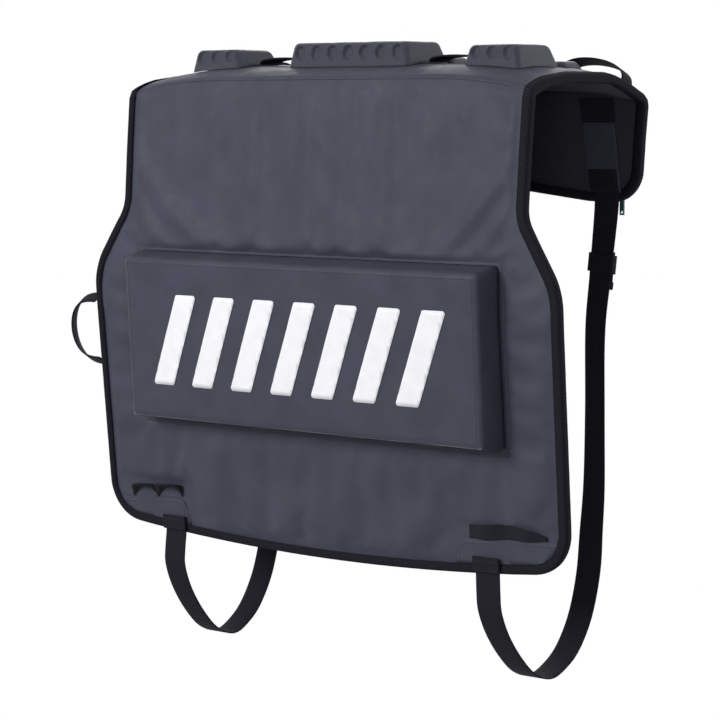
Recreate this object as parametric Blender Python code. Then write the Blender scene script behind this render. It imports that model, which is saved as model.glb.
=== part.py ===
"""Tailgate bike pad: a padded cover that hangs over the top edge of a pickup's tailgate.

Three layers (lining, foam, outer cover) are cut flat in a front, a top and a rear panel, sewn at
the two folds and draped over the tailgate. The front panel carries a raised foam box, the top
carries moulded blocks that hold two bike frames, and two webbing straps run from the rear flap
under the tailgate to the front bottom corners.

+X runs along the tailgate to the right, -Y points at the person in front of it, +Z is up. The origin
is on the underside of the lining, in the middle of the flat strip that rests on the tailgate.
"""
import bisect
import math

import bmesh
import bpy
from mathutils import Vector

# Gaps between pieces that touch
GAP = 0.0003
BINDING_GAP = 0.0004

# Layers of the padded sheet, from the tailgate outwards
LINING_THICK = 0.0010
FOAM_THICK = 0.0044
COVER_THICK = 0.0010
FOAM_LOW = LINING_THICK + GAP
COVER_LOW = FOAM_LOW + FOAM_THICK + GAP
FACE = COVER_LOW + COVER_THICK

# Side profile of the lining's inner face: distances from the middle of the flat strip
FLAT_FRONT = 0.037
FLAT_BACK = 0.043
FLAT_RADIUS = 0.070
FRONT_SHOULDER_Y = 0.085
FRONT_SHOULDER_DROP = 0.006
BACK_SHOULDER_Y = 0.075
BACK_SHOULDER_DROP = 0.010
SHOULDER_RADIUS = 0.055
FRONT_FOLD_Y = 0.1085
FRONT_FOLD_DROP = 0.015
BACK_FOLD_Y = 0.1080
BACK_FOLD_DROP = 0.0235
FOLD_RADIUS = 0.0055
BULGE_DOWN = 0.2275
BULGE_OUT = 0.016
BULGE_RADIUS = 0.600
FRONT_SPAN = 0.400
FRONT_RECEDE = 0.0355
FLAP_SPAN = 0.160
FLAP_TUCK = 0.0150

# The top corners droop past this distance from the middle
DROOP = 0.016
DROOP_START = 0.150
DROOP_POWER = 2.5
DROOP_LIMIT = 1.15
DROOP_FADE_FRONT = 0.080
DROOP_FADE_BACK = 0.055

# Cut outline of the sheet
TOP_HALF = 0.3115
NECK_IN = 0.0010
NECK_HALF = TOP_HALF - NECK_IN
NECK_DOWN = 0.153
NECK_RADIUS = 0.045
SKIRT_FLARE = 0.0495
SKIRT_HALF = TOP_HALF + SKIRT_FLARE
SKIRT_DOWN = 0.2305
SKIRT_RADIUS = 0.080
HEM_IN = 0.0030
HEM_HALF = SKIRT_HALF - HEM_IN
FRONT_LENGTH = 0.569
HEM_BOW = 0.020
FRONT_CORNER_RADIUS = 0.052
FLAP_LENGTH = 0.117
FLAP_LOBE = 0.0135
FLAP_LOBE_START = 0.120
FLAP_LOBE_END = 0.240
FLAP_LOBE_ROUND = 0.080
FLAP_LOBE_EASE = 0.120
FLAP_CORNER_RADIUS = 0.036
HEM_STEPS = 6

# Binding tape sewn round the whole edge
BINDING_WIDTH = 0.0105
BINDING_THICK = 0.0010

# Raised box on the front panel
BOX_DOWN = 0.206
BOX_WIDTH = 0.558
BOX_HEIGHT = 0.208
BOX_DEPTH = 0.038
BOX_TAPER = 0.006
BOX_WALL = 0.0010
BOX_GAP = 0.0005
BOX_ROWS = 6
BOX_COLUMNS = 8

# White transfer film on the box: a row of plain slanted bars
BAR_COUNT = 7
BAR_WIDTH = 0.034
BAR_PITCH = 0.064
BAR_HEIGHT = 0.112
BAR_SLANT = 0.045
BAR_THICK = 0.0004

# Moulded blocks on the top, in a front row and a back row
CENTRE_BLOCK_WIDTH = 0.187
SIDE_BLOCK_WIDTH = 0.080
CRADLE_WIDTH = 0.0815
FRONT_BLOCK_Y = -0.062
FRONT_BLOCK_DEPTH = 0.078
BACK_BLOCK_Y = 0.024
BACK_BLOCK_DEPTH = 0.046
CENTRE_BLOCK_TOP = 0.0330
SIDE_BLOCK_TOP = 0.0268
BACK_CENTRE_TOP = 0.0155
BACK_SIDE_TOP = 0.0085
BLOCK_LEAN_FRONT = 0.004
BLOCK_LEAN_BACK = 0.011
BLOCK_LEAN_SIDE = 0.0055
BLOCK_ROUND = 0.0055
GROOVE_PITCH = 0.0264
GROOVE_WIDTH = 0.0165
GROOVE_DEPTH = 0.0035
GROOVE_LIFT = 0.0075
GROOVE_AHEAD = 0.020
GROOVE_SIDES = 8

# Webbing straps under the tailgate
STRAP_WIDTH = 0.034
STRAP_THICK = 0.0018
STRAP_FRONT_IN = 0.112
STRAP_LOW_IN = 0.102
STRAP_EXIT_IN = 0.0430
STRAP_SEWN_IN = 0.0660
STRAP_FRONT_X = HEM_HALF - STRAP_FRONT_IN
STRAP_LOW_X = HEM_HALF - STRAP_LOW_IN
STRAP_EXIT_X = TOP_HALF - STRAP_EXIT_IN
STRAP_SEWN_X = TOP_HALF - STRAP_SEWN_IN
STRAP_TWIST = 14.0
FLAP_STEPS = 6
STRAP_SPREAD = 0.62
STRAP_EXIT_DROP = 0.004
STRAP_SPACING = 0.020
# The hanging bow: shares of the way from the hem to the rear strand, and of the drop below the hem
STRAP_BELLY = 0.135
STRAP_BOW = ((0.0, 0.163), (0.01, 0.326), (0.08, 0.541), (0.20, 0.759), (0.34, 0.930), (0.50, 1.0),
             (0.655, 0.937), (0.79, 0.804), (0.91, 0.544), (0.98, 0.178))
# The rear strand: shares of its height, and of how far it stands in front of the flap's strap
STRAP_AHEAD = 0.0020
STRAP_REAR = ((0.065, 1.0), (0.20, 0.75), (0.41, 1.0), (0.64, 1.25), (0.80, 1.0))
STRAP_END_DOWN = 0.541
# The left strap is let out further than the right one; the bows splay outwards, and their rear
# strands swing a little to the left
STRAP_SLACK = {"left": 0.010, "right": 0.0}
STRAP_SPLAY = {"left": 0.0085, "right": 0.0035}
STRAP_SWING = 0.005
SLEEVE_WIDTH = 0.045
SLEEVE_THICK = 0.0014
SLEEVE_END = 0.121
ANCHOR_WIDTH = 0.048
ANCHOR_LENGTH = 0.031
ANCHOR_START = 0.006
TAB_WIDTH = 0.038
TAB_HEIGHT = 0.018
TAB_THICK = 0.0026
TAB_ABOVE = 0.001
KEEPER_HEIGHT = 0.022
KEEPER_WALL = 0.0013
KEEPER_PLAY = 0.0010
KEEPER_DOWN = 0.070
TAIL_ABOVE = 0.004
TAIL_DROP = 0.018
TAIL_END_THICK = 0.0040
TAIL_STEP = 0.004

# Corner patches and the finger bands above them, which differ a little from left to right
PATCH_INNER_X = {"left": HEM_HALF - 0.130, "right": HEM_HALF - 0.158}
PATCH_DOWN = {"left": 0.5165, "right": 0.522}
PATCH_RISE = {"left": math.radians(-4), "right": math.radians(3.5)}
PATCH_LEAN = {"left": math.radians(12), "right": math.radians(3)}
PATCH_ROUND = 0.020
PATCH_STEPS = 4
PATCH_SPARE = 0.040
PATCH_THICK = 0.0010
BAND_INNER_X = {"left": HEM_HALF - 0.126, "right": HEM_HALF - 0.136}
BAND_OUTER_X = {"left": HEM_HALF - 0.040, "right": HEM_HALF - 0.027}
BAND_HEIGHT = 0.0155
BAND_TIP = {"left": 0.0110, "right": 0.0050}
BAND_THICK = 0.0022
# The left band's arches stand open and lean out; the right band lies almost flat
BAND_LIFT = {"left": 0.0010, "right": 0.0055}
BAND_OPEN = {"left": 0.0130, "right": 0.0}
BAND_TURN = {"left": math.radians(70), "right": math.radians(8)}
BAND_COLUMNS = 16
BAND_POWER = 4

# Carrying handle on the left edge
HANDLE_TOP_DOWN = 0.2695
HANDLE_SPAN = 0.0815
HANDLE_REACH = 0.050
HANDLE_FOOT = 0.002
HANDLE_WIDTH = 0.020
HANDLE_THICK = 0.0022
HANDLE_TURN = math.radians(30)
HANDLE_FULLNESS = 0.7
HANDLE_STEPS = 14

# Webbing loops and bike straps on the top
LOOP_WIDTH = 0.022
LOOP_THICK = 0.0016
LOOP_SPAN = 0.0865
LOOP_OUT_IN = 0.0130
LOOP_OUTER_X = TOP_HALF - LOOP_OUT_IN
LOOP_INNER_X = LOOP_OUTER_X - LOOP_SPAN
LOOP_Y = 0.084
LOOP_RISE = 0.0235
ARCH_FULLNESS = 0.75
BIKE_STRAP_WIDTH = 0.038
BIKE_STRAP_THICK = 0.0022
BIKE_STRAP_RISE = 0.0075
BIKE_STRAP_SPAN = 0.070
BIKE_STRAP_Y = -0.010
ARCH_FOOT = 0.002
LOOP_STEPS = 10

# Zip of the flat pocket in the rear flap
ZIP_DOWN = 0.091
ZIP_END_SPACE = 0.009
ZIP_HALF_LENGTH = TOP_HALF - BINDING_WIDTH - ZIP_END_SPACE
TAPE_WIDTH = 0.018
TAPE_THICK = 0.0007
TEETH_WIDTH = 0.0060
TEETH_THICK = 0.0016
SLIDER_STOP = 0.0170
SLIDER_LENGTH = 0.012
SLIDER_HEIGHT = 0.0090
SLIDER_THICK = 0.0022
BAIL_REACH = 0.0052
BAIL_THICK = 0.0016
BAIL_INSIDE = 0.0070
BAIL_ROOT = 0.0004
PULL_WIDTH = 0.0056
PULL_THICK = 0.0024
PULL_LENGTH = 0.0560
PULL_PLAY = 0.0004
PULL_SIDES = 14
PULL_EYE_WALL = 0.0014
PULL_HOLE = 0.0034

# Facets
ARC_STEP = math.radians(24)
COLUMNS = (*(SKIRT_HALF * share for share in (0.415, 0.526, 0.637, 0.742, 0.942)),
           TOP_HALF - BINDING_WIDTH)

BLACK_WEB = (0.028, 0.028, 0.034)

for old in list(bpy.data.objects):
    bpy.data.objects.remove(old)


def material(name, colour, roughness, metallic=0.0):
    made = bpy.data.materials.get(name)
    if made is None:
        made = bpy.data.materials.new(name)
        made.use_nodes = True
        shader = made.node_tree.nodes["Principled BSDF"]
        shader.inputs["Base Color"].default_value = (*colour, 1.0)
        shader.inputs["Roughness"].default_value = roughness
        shader.inputs["Metallic"].default_value = metallic
    return made


def face_out(bm):
    """Point every face of a closed bmesh outwards."""
    bmesh.ops.recalc_face_normals(bm, faces=bm.faces)
    if bm.calc_volume(signed=True) < 0:
        bmesh.ops.reverse_faces(bm, faces=bm.faces)


def finish(bm, name, look, smooth=False):
    """Turn a bmesh into one named object with its material."""
    face_out(bm)
    mesh = bpy.data.meshes.new(name)
    bm.to_mesh(mesh)
    bm.free()
    if smooth:
        mesh.shade_smooth()
        mesh.set_sharp_from_angle(angle=math.radians(40))
    obj = bpy.data.objects.new(name, mesh)
    obj.data.materials.append(look)
    bpy.context.collection.objects.link(obj)
    return obj


def rounded(corners):
    """Points of a polyline whose inner corners (a, b, radius) are rounded to arcs."""
    points = [Vector(corners[0][:2])]
    for before, corner, after in zip(corners, corners[1:], corners[2:]):
        here = Vector(corner[:2])
        back = (Vector(before[:2]) - here).normalized()
        ahead = (Vector(after[:2]) - here).normalized()
        turn = math.pi - back.angle(ahead)
        if corner[2] == 0 or turn < 1e-4:
            points.append(here)
            continue
        reach = corner[2] * math.tan(turn / 2)
        centre = here + (back + ahead).normalized() * (corner[2] / math.cos(turn / 2))
        steps = max(3, math.ceil(turn / ARC_STEP))
        start = here + back * reach - centre
        side = 1 if back.cross(ahead) < 0 else -1
        for step in range(steps + 1):
            angle = side * turn * step / steps
            points.append(centre + Vector((start.x * math.cos(angle) - start.y * math.sin(angle),
                                           start.x * math.sin(angle) + start.y * math.cos(angle))))
    points.append(Vector(corners[-1][:2]))
    return points


# Side profile from the front hem over the top to the edge of the rear flap, in (y, z)
BULGE_Z = -FRONT_FOLD_DROP - BULGE_DOWN
PROFILE = rounded([
    (-FRONT_FOLD_Y - BULGE_OUT + FRONT_RECEDE, BULGE_Z - FRONT_SPAN, 0),
    (-FRONT_FOLD_Y - BULGE_OUT, BULGE_Z, BULGE_RADIUS),
    (-FRONT_FOLD_Y, -FRONT_FOLD_DROP, FOLD_RADIUS),
    (-FRONT_SHOULDER_Y, -FRONT_SHOULDER_DROP, SHOULDER_RADIUS),
    (-FLAT_FRONT, 0, FLAT_RADIUS),
    (FLAT_BACK, 0, FLAT_RADIUS),
    (BACK_SHOULDER_Y, -BACK_SHOULDER_DROP, SHOULDER_RADIUS),
    (BACK_FOLD_Y, -BACK_FOLD_DROP, FOLD_RADIUS),
    (BACK_FOLD_Y - FLAP_TUCK, -BACK_FOLD_DROP - FLAP_SPAN, 0),
])


def nearest(points, target):
    return min(range(len(points)), key=lambda i: (points[i] - Vector(target)).length)


# Distance along the cloth, zero on the front fold
LENGTHS = [0.0]
for low, high in zip(PROFILE, PROFILE[1:]):
    LENGTHS.append(LENGTHS[-1] + (high - low).length)
FOLD_AT = LENGTHS[nearest(PROFILE, (-FRONT_FOLD_Y, -FRONT_FOLD_DROP))]
LENGTHS = [length - FOLD_AT for length in LENGTHS]
BACK_FOLD_S = LENGTHS[nearest(PROFILE, (BACK_FOLD_Y, -BACK_FOLD_DROP))]

SEGMENT_NORMALS = []
for low, high in zip(PROFILE, PROFILE[1:]):
    along = (high - low).normalized()
    SEGMENT_NORMALS.append(Vector((-along.y, along.x)))
NORMALS = [SEGMENT_NORMALS[0]]
for first, second in zip(SEGMENT_NORMALS, SEGMENT_NORMALS[1:]):
    middle = (first + second).normalized()
    NORMALS.append(middle / middle.dot(first))
NORMALS.append(SEGMENT_NORMALS[-1])


def droop(x, s):
    """How far the top corners hang below the middle."""
    out = max(0.0, abs(x) - DROOP_START) / (TOP_HALF - DROOP_START)
    fade = 1.0
    if s < 0:
        fade = max(0.0, 1 + s / DROOP_FADE_FRONT)
    elif s > BACK_FOLD_S:
        fade = max(0.0, 1 - (s - BACK_FOLD_S) / DROOP_FADE_BACK)
    return DROOP * min(out, DROOP_LIMIT) ** DROOP_POWER * fade


def drape(x, s, height):
    """Place a point of the flat cut, at a height above the lining's inner face."""
    i = min(max(bisect.bisect_right(LENGTHS, s) - 1, 0), len(LENGTHS) - 2)
    share = (s - LENGTHS[i]) / (LENGTHS[i + 1] - LENGTHS[i])
    spot = PROFILE[i].lerp(PROFILE[i + 1], share)
    spot += NORMALS[i].lerp(NORMALS[i + 1], share) * height
    return Vector((x, spot.x, spot.y - droop(x, s)))


def hem(x):
    """Distance along the cloth of the front hem, which bows down in the middle."""
    return -FRONT_LENGTH + HEM_BOW * (x / HEM_HALF) ** 2


def cut_outline():
    """Closed outline of the flat sheet in (x, s), anticlockwise."""
    flap = BACK_FOLD_S + FLAP_LENGTH
    right = [(0, hem(0), 0)]
    for step in range(1, HEM_STEPS):
        x = (HEM_HALF - FRONT_CORNER_RADIUS) * step / HEM_STEPS
        right.append((x, hem(x), 0))
    right += [
        (HEM_HALF, hem(HEM_HALF), FRONT_CORNER_RADIUS),
        (SKIRT_HALF, -SKIRT_DOWN, SKIRT_RADIUS),
        (NECK_HALF, -NECK_DOWN, NECK_RADIUS),
        (TOP_HALF, 0, 0),
        (TOP_HALF, flap + FLAP_LOBE, FLAP_CORNER_RADIUS),
        (FLAP_LOBE_END, flap + FLAP_LOBE, FLAP_LOBE_ROUND),
        (FLAP_LOBE_START, flap, FLAP_LOBE_EASE),
        (0, flap, 0),
    ]
    half = rounded(right)
    return half + [Vector((-p.x, p.y)) for p in reversed(half[1:-1])]


def shrink(outline, distance):
    """Offset a closed anticlockwise outline inwards."""
    moved = []
    for i, here in enumerate(outline):
        back = (here - outline[i - 1]).normalized()
        ahead = (outline[(i + 1) % len(outline)] - here).normalized()
        inward = Vector((-(back + ahead).y, (back + ahead).x)).normalized()
        moved.append(here + inward * distance / inward.dot(Vector((-back.y, back.x))))
    return moved


def cut(outline, s_from=-1.0, s_to=1.0, x_from=-1.0, x_to=1.0):
    """Flat mesh of an outline, scored along the profile's bends and a few columns."""
    bm = bmesh.new()
    bm.faces.new([bm.verts.new((p.x, p.y, 0)) for p in outline])
    bm.normal_update()
    lines = [((0, s, 0), (0, 1, 0)) for s in LENGTHS]
    lines += [((side * x, 0, 0), (1, 0, 0)) for x in COLUMNS for side in (-1, 1)]
    for point, normal in lines:
        bmesh.ops.bisect_plane(bm, geom=bm.verts[:] + bm.edges[:] + bm.faces[:], dist=1e-6,
                               plane_co=point, plane_no=normal)
    clips = (((0, s_from, 0), (0, -1, 0)), ((0, s_to, 0), (0, 1, 0)),
             ((x_from, 0, 0), (-1, 0, 0)), ((x_to, 0, 0), (1, 0, 0)))
    for point, normal in clips:
        bmesh.ops.bisect_plane(bm, geom=bm.verts[:] + bm.edges[:] + bm.faces[:], dist=1e-6,
                               plane_co=point, plane_no=normal, clear_outer=True)
    bmesh.ops.remove_doubles(bm, verts=bm.verts, dist=1e-5)
    bmesh.ops.triangulate(bm, faces=bm.faces)
    return bm


def rectangle(x_from, x_to, s_from, s_to):
    return [Vector((x_from, s_from)), Vector((x_to, s_from)), Vector((x_to, s_to)),
            Vector((x_from, s_to))]


def quilt(flat, low, high):
    """Closed solid between two surfaces over a flat cut; low and high map (x, s) to points."""
    bm = bmesh.new()
    under = {v: bm.verts.new(low(v.co.x, v.co.y)) for v in flat.verts}
    over = {v: bm.verts.new(high(v.co.x, v.co.y)) for v in flat.verts}
    for face in flat.faces:
        bm.faces.new([over[v] for v in face.verts])
        bm.faces.new([under[v] for v in reversed(face.verts)])
    for edge in flat.edges:
        if len(edge.link_faces) == 1:
            a, b = edge.verts
            bm.faces.new([under[a], under[b], over[b], over[a]])
    flat.free()
    return bm


def layer(low, high):
    """Pair of surfaces at two fixed heights above the lining's inner face."""
    return (lambda x, s: drape(x, s, low)), (lambda x, s: drape(x, s, high))


def ring(sections, closed):
    """Skin a row of equal cross-sections; caps both ends unless the row is closed."""
    bm = bmesh.new()
    rows = [[bm.verts.new(p) for p in section] for section in sections]
    count = len(rows[0])
    pairs = list(zip(rows, rows[1:] + rows[:1])) if closed else list(zip(rows, rows[1:]))
    for first, second in pairs:
        for i in range(count):
            j = (i + 1) % count
            bm.faces.new([first[i], first[j], second[j], second[i]])
    if not closed:
        bm.faces.new(rows[0])
        bm.faces.new(rows[-1])
    bm.normal_update()
    bmesh.ops.triangulate(bm, faces=bm.faces)
    return bm


def webbing(route, across, width, thickness):
    """Flat strip along a route; across gives the width direction at each point."""
    sections = []
    for i, here in enumerate(route):
        along = (route[min(i + 1, len(route) - 1)] - route[max(i - 1, 0)]).normalized()
        wide = (across[i] - along * across[i].dot(along)).normalized() * width / 2
        deep = along.cross(wide).normalized() * thickness / 2
        sections.append([here - wide - deep, here + wide - deep, here + wide + deep,
                         here - wide + deep])
    return ring(sections, closed=False)


def smooth_route(points, spacing):
    """Points at about equal spacing on a smooth curve through the route's own points."""
    route = []
    for i in range(len(points) - 1):
        p0, p1 = points[max(i - 1, 0)], points[i]
        p2, p3 = points[i + 1], points[min(i + 2, len(points) - 1)]
        steps = max(1, round((p2 - p1).length / spacing))
        for step in range(steps):
            t = step / steps
            route.append(0.5 * (2 * p1 + (p2 - p0) * t + (2 * p0 - 5 * p1 + 4 * p2 - p3) * t ** 2
                                + (3 * p1 - p0 - 3 * p2 + p3) * t ** 3))
    route.append(points[-1].copy())
    return route


def combine(obj, other_bm, operation):
    """Boolean of an object with a helper body, applied as a live modifier."""
    face_out(other_bm)
    mesh = bpy.data.meshes.new(obj.name + "_tool")
    other_bm.to_mesh(mesh)
    other_bm.free()
    tool = bpy.data.objects.new(obj.name + "_tool", mesh)
    bpy.context.collection.objects.link(tool)
    tool.hide_render = True
    tool.display_type = "WIRE"
    modifier = obj.modifiers.new(operation.lower(), "BOOLEAN")
    modifier.operation = operation
    modifier.solver = "EXACT"
    modifier.object = tool
    return tool


tarpaulin = material("tarpaulin", (0.060, 0.063, 0.080), 0.45)
lining_cloth = material("lining_cloth", (0.010, 0.010, 0.014), 0.85)
foam = material("foam", (0.16, 0.16, 0.17), 0.90)
binding_tape = material("binding_tape", (0.020, 0.020, 0.025), 0.75)
webbing_cloth = material("webbing", BLACK_WEB, 0.70)
moulded_foam = material("moulded_foam", (0.045, 0.048, 0.060), 0.42)
print_film = material("print_film", (0.88, 0.88, 0.90), 0.40)
zip_plastic = material("zip_plastic", (0.020, 0.020, 0.024), 0.45)
zip_metal = material("zip_metal", (0.05, 0.05, 0.055), 0.40, 0.8)
pull_rubber = material("pull_rubber", (0.045, 0.080, 0.100), 0.55)

# Lining, foam and outer cover, each cut in three panels that meet at the two fold seams
OUTLINE = cut_outline()
INSIDE = shrink(OUTLINE, BINDING_THICK + GAP)
for panel, s_from, s_to in (("front", -1.0, -GAP), ("top", GAP, BACK_FOLD_S - GAP),
                            ("rear", BACK_FOLD_S + GAP, 1.0)):
    for sheet, low, high, look in (("lining", 0.0, LINING_THICK, lining_cloth),
                                   ("foam", FOAM_LOW, FOAM_LOW + FOAM_THICK, foam),
                                   ("cover", COVER_LOW, FACE, tarpaulin)):
        finish(quilt(cut(INSIDE, s_from, s_to), *layer(low, high)), f"{panel}_{sheet}", look)


def edge_loop():
    """The scored outline's points in order, anticlockwise."""
    flat = cut(OUTLINE)
    border = [e for e in flat.edges if len(e.link_faces) == 1]
    here = min(border[0].verts, key=lambda v: v.co.x)
    start, path, used = here, [], set()
    while not path or here is not start:
        path.append(Vector(here.co.xy))
        step = next(e for e in here.link_edges if e in border and e not in used)
        used.add(step)
        here = step.other_vert(here)
    flat.free()
    area = sum(a.cross(b) for a, b in zip(path, path[1:] + path[:1]))
    return path if area > 0 else path[::-1]


# Binding: a U of tape folded over the edge of the whole sheet
TAPE_IN = -BINDING_GAP
TAPE_OUT = FACE + BINDING_GAP
EDGE = edge_loop()
RIM = {depth: shrink(EDGE, depth) for depth in (0, BINDING_THICK, BINDING_WIDTH)}
U_SECTION = ((0, TAPE_IN - BINDING_THICK), (BINDING_WIDTH, TAPE_IN - BINDING_THICK),
             (BINDING_WIDTH, TAPE_IN), (BINDING_THICK, TAPE_IN), (BINDING_THICK, TAPE_OUT),
             (BINDING_WIDTH, TAPE_OUT), (BINDING_WIDTH, TAPE_OUT + BINDING_THICK),
             (0, TAPE_OUT + BINDING_THICK))
sections = [[drape(*RIM[depth][i], height) for depth, height in U_SECTION]
            for i in range(len(EDGE))]
finish(ring(sections, closed=True), "edge_binding", binding_tape)

# Raised box: a foam slab, a gusset round it and a front face
BOX_HALF = BOX_WIDTH / 2
BOX_TOP_S = -BOX_DOWN
BOX_LOW_S = -BOX_DOWN - BOX_HEIGHT
BOX_HIGH_END = drape(0, BOX_TOP_S, FACE)
BOX_LOW_END = drape(0, BOX_LOW_S, FACE)
BOX_NORMAL = (BOX_HIGH_END - BOX_LOW_END).normalized().cross(Vector((-1, 0, 0)))
if BOX_NORMAL.y > 0:
    BOX_NORMAL.negate()


def box_point(u, v, share, grow, extra=0.0):
    """Point of the box: u across and v up its base, share from its back (0) to its face (1)."""
    inset = BOX_TAPER * share - grow
    x = u * (BOX_HALF - inset)
    s = BOX_LOW_S + inset + v * (BOX_HEIGHT - 2 * inset)
    back = drape(x, s, FACE + BOX_GAP)
    level = (s - BOX_LOW_S) / BOX_HEIGHT
    front = BOX_LOW_END.lerp(BOX_HIGH_END, level) + BOX_NORMAL * BOX_DEPTH
    front.x = x
    return back.lerp(front, share) + BOX_NORMAL * extra


def box_slab(low, high):
    """Solid over the whole box between two surfaces that map (u, v) to points."""
    flat = bmesh.new()
    bmesh.ops.create_grid(flat, x_segments=BOX_COLUMNS, y_segments=BOX_ROWS, size=1)
    bmesh.ops.triangulate(flat, faces=flat.faces)
    return quilt(flat, lambda u, w: low(u, (w + 1) / 2), lambda u, w: high(u, (w + 1) / 2))


FOAM_IN = -BOX_WALL - GAP
FOAM_SHARE = 1 - (BOX_WALL + GAP) / BOX_DEPTH
finish(box_slab(lambda u, v: box_point(u, v, 0, FOAM_IN),
                lambda u, v: box_point(u, v, FOAM_SHARE, FOAM_IN)), "box_foam", foam)
finish(box_slab(lambda u, v: box_point(u, v, 1, FOAM_IN, -BOX_WALL),
                lambda u, v: box_point(u, v, 1, FOAM_IN)), "box_face", tarpaulin)


def box_rim():
    """(u, v) points round the box, anticlockwise."""
    across = [2 * i / BOX_COLUMNS - 1 for i in range(BOX_COLUMNS)]
    up = [i / BOX_ROWS for i in range(BOX_ROWS)]
    return ([(u, 0) for u in across] + [(1, v) for v in up]
            + [(-u, 1) for u in across] + [(-1, 1 - v) for v in up])


gusset = [[box_point(u, v, 0, -BOX_WALL), box_point(u, v, 0, 0),
           box_point(u, v, 1, 0), box_point(u, v, 1, -BOX_WALL)] for u, v in box_rim()]
finish(ring(gusset, closed=True), "box_gusset", tarpaulin)


def print_bar(index):
    """One slanted bar of film on the box's face."""
    x = (index - (BAR_COUNT - 1) / 2) * BAR_PITCH
    half_v = BAR_HEIGHT / BOX_HEIGHT / 2
    flat = bmesh.new()
    corners = ((-1, -1), (1, -1), (1, 1), (-1, 1))
    points = []
    for a, b in corners:
        points.append(flat.verts.new(((x + a * BAR_WIDTH / 2 + b * BAR_SLANT / 2) / BOX_HALF,
                                      0.5 + b * half_v, 0)))
    flat.faces.new(points)
    bmesh.ops.triangulate(flat, faces=flat.faces)
    return quilt(flat, lambda u, v: box_point(u, v, 1, 0, GAP),
                 lambda u, v: box_point(u, v, 1, 0, GAP + BAR_THICK))


for index in range(BAR_COUNT):
    finish(print_bar(index), f"print_bar_{index + 1}", print_film)


def s_at(y):
    """Distance along the top of the cloth at which the lining is at y."""
    for i in range(len(PROFILE) - 1):
        if LENGTHS[i] >= -1e-9 and PROFILE[i].x <= y <= PROFILE[i + 1].x:
            share = (y - PROFILE[i].x) / (PROFILE[i + 1].x - PROFILE[i].x)
            return LENGTHS[i] + share * (LENGTHS[i + 1] - LENGTHS[i])
    return LENGTHS[-1]


def block(x, width, y_from, depth, top):
    """Moulded block: its foot follows the top cover and its sides lean in to a flat top."""
    y_to = y_from + depth
    flat = cut(rectangle(x - width / 2, x + width / 2, s_at(y_from), s_at(y_to)))
    half = width / 2
    lean = BLOCK_LEAN_FRONT + BLOCK_LEAN_BACK

    def foot(px, s):
        return drape(px, s, FACE + GAP)

    def crown(px, s):
        base = drape(px, s, FACE + GAP)
        low, high = drape(px, s_at(y_from), FACE + GAP).y, drape(px, s_at(y_to), FACE + GAP).y
        share = (base.y - low) / (high - low)
        return Vector((x + (px - x) * (half - BLOCK_LEAN_SIDE) / half,
                       low + BLOCK_LEAN_FRONT + share * (high - low - lean), top))

    bm = quilt(flat, foot, crown)
    bmesh.ops.recalc_face_normals(bm, faces=bm.faces)
    edges = [e for e in bm.edges if e.calc_face_angle() > math.radians(30)
             and max(v.co.z for v in e.verts) > top - 1e-5]
    bmesh.ops.bevel(bm, geom=edges, offset=BLOCK_ROUND, offset_type="OFFSET", segments=2,
                    profile=0.5, affect="EDGES", clamp_overlap=True, material=-1)
    bmesh.ops.triangulate(bm, faces=bm.faces)
    return bm


def grooves(x, width, y_from, top):
    """Upright round-ended slots along the front of a block, open at its top edge."""
    count = max(1, round(width / GROOVE_PITCH))
    foot = drape(x, s_at(y_from), FACE).z + GROOVE_LIFT
    face = drape(x, s_at(y_from), FACE + GAP).y
    radius = GROOVE_WIDTH / 2
    bm = bmesh.new()
    for i in range(count):
        middle = x + (i - (count - 1) / 2) * (width - 2 * BLOCK_LEAN_SIDE) / count
        ring_points = [Vector((middle + radius, 0, top + radius))]
        for step in range(GROOVE_SIDES + 1):
            angle = -math.pi * step / GROOVE_SIDES
            ring_points.append(Vector((middle + radius * math.cos(angle), 0,
                                       foot + radius + radius * math.sin(angle))))
        ring_points.append(Vector((middle - radius, 0, top + radius)))
        near = [bm.verts.new(p + Vector((0, face - GROOVE_AHEAD, 0))) for p in ring_points]
        far = [bm.verts.new(p + Vector((0, face + GROOVE_DEPTH + BLOCK_LEAN_FRONT / 2, 0)))
               for p in ring_points]
        bm.faces.new(near)
        bm.faces.new(far[::-1])
        for a in range(len(near)):
            b = (a + 1) % len(near)
            bm.faces.new([near[b], near[a], far[a], far[b]])
    return bm


SIDE_X = CENTRE_BLOCK_WIDTH / 2 + CRADLE_WIDTH + SIDE_BLOCK_WIDTH / 2
for side, x, width, front_top, back_top in (
        ("left", -SIDE_X, SIDE_BLOCK_WIDTH, SIDE_BLOCK_TOP, BACK_SIDE_TOP),
        ("centre", 0.0, CENTRE_BLOCK_WIDTH, CENTRE_BLOCK_TOP, BACK_CENTRE_TOP),
        ("right", SIDE_X, SIDE_BLOCK_WIDTH, SIDE_BLOCK_TOP, BACK_SIDE_TOP)):
    made = finish(block(x, width, FRONT_BLOCK_Y, FRONT_BLOCK_DEPTH, front_top),
                  f"frame_block_{side}", moulded_foam)
    combine(made, grooves(x, width, FRONT_BLOCK_Y, front_top), "DIFFERENCE")
    finish(block(x, width, BACK_BLOCK_Y, BACK_BLOCK_DEPTH, back_top), f"rear_block_{side}",
           moulded_foam)


# Straps under the tailgate
STRAP_HEIGHT = TAPE_OUT + BINDING_THICK + GAP + STRAP_THICK / 2
FLAP_HEIGHT = TAPE_IN - BINDING_THICK - GAP - STRAP_THICK / 2
FLAP_EDGE = BACK_FOLD_S + FLAP_LENGTH + FLAP_LOBE
HEM_EDGE = hem(STRAP_FRONT_X)
STRAP_MIDDLE_Y = 0.0


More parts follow.
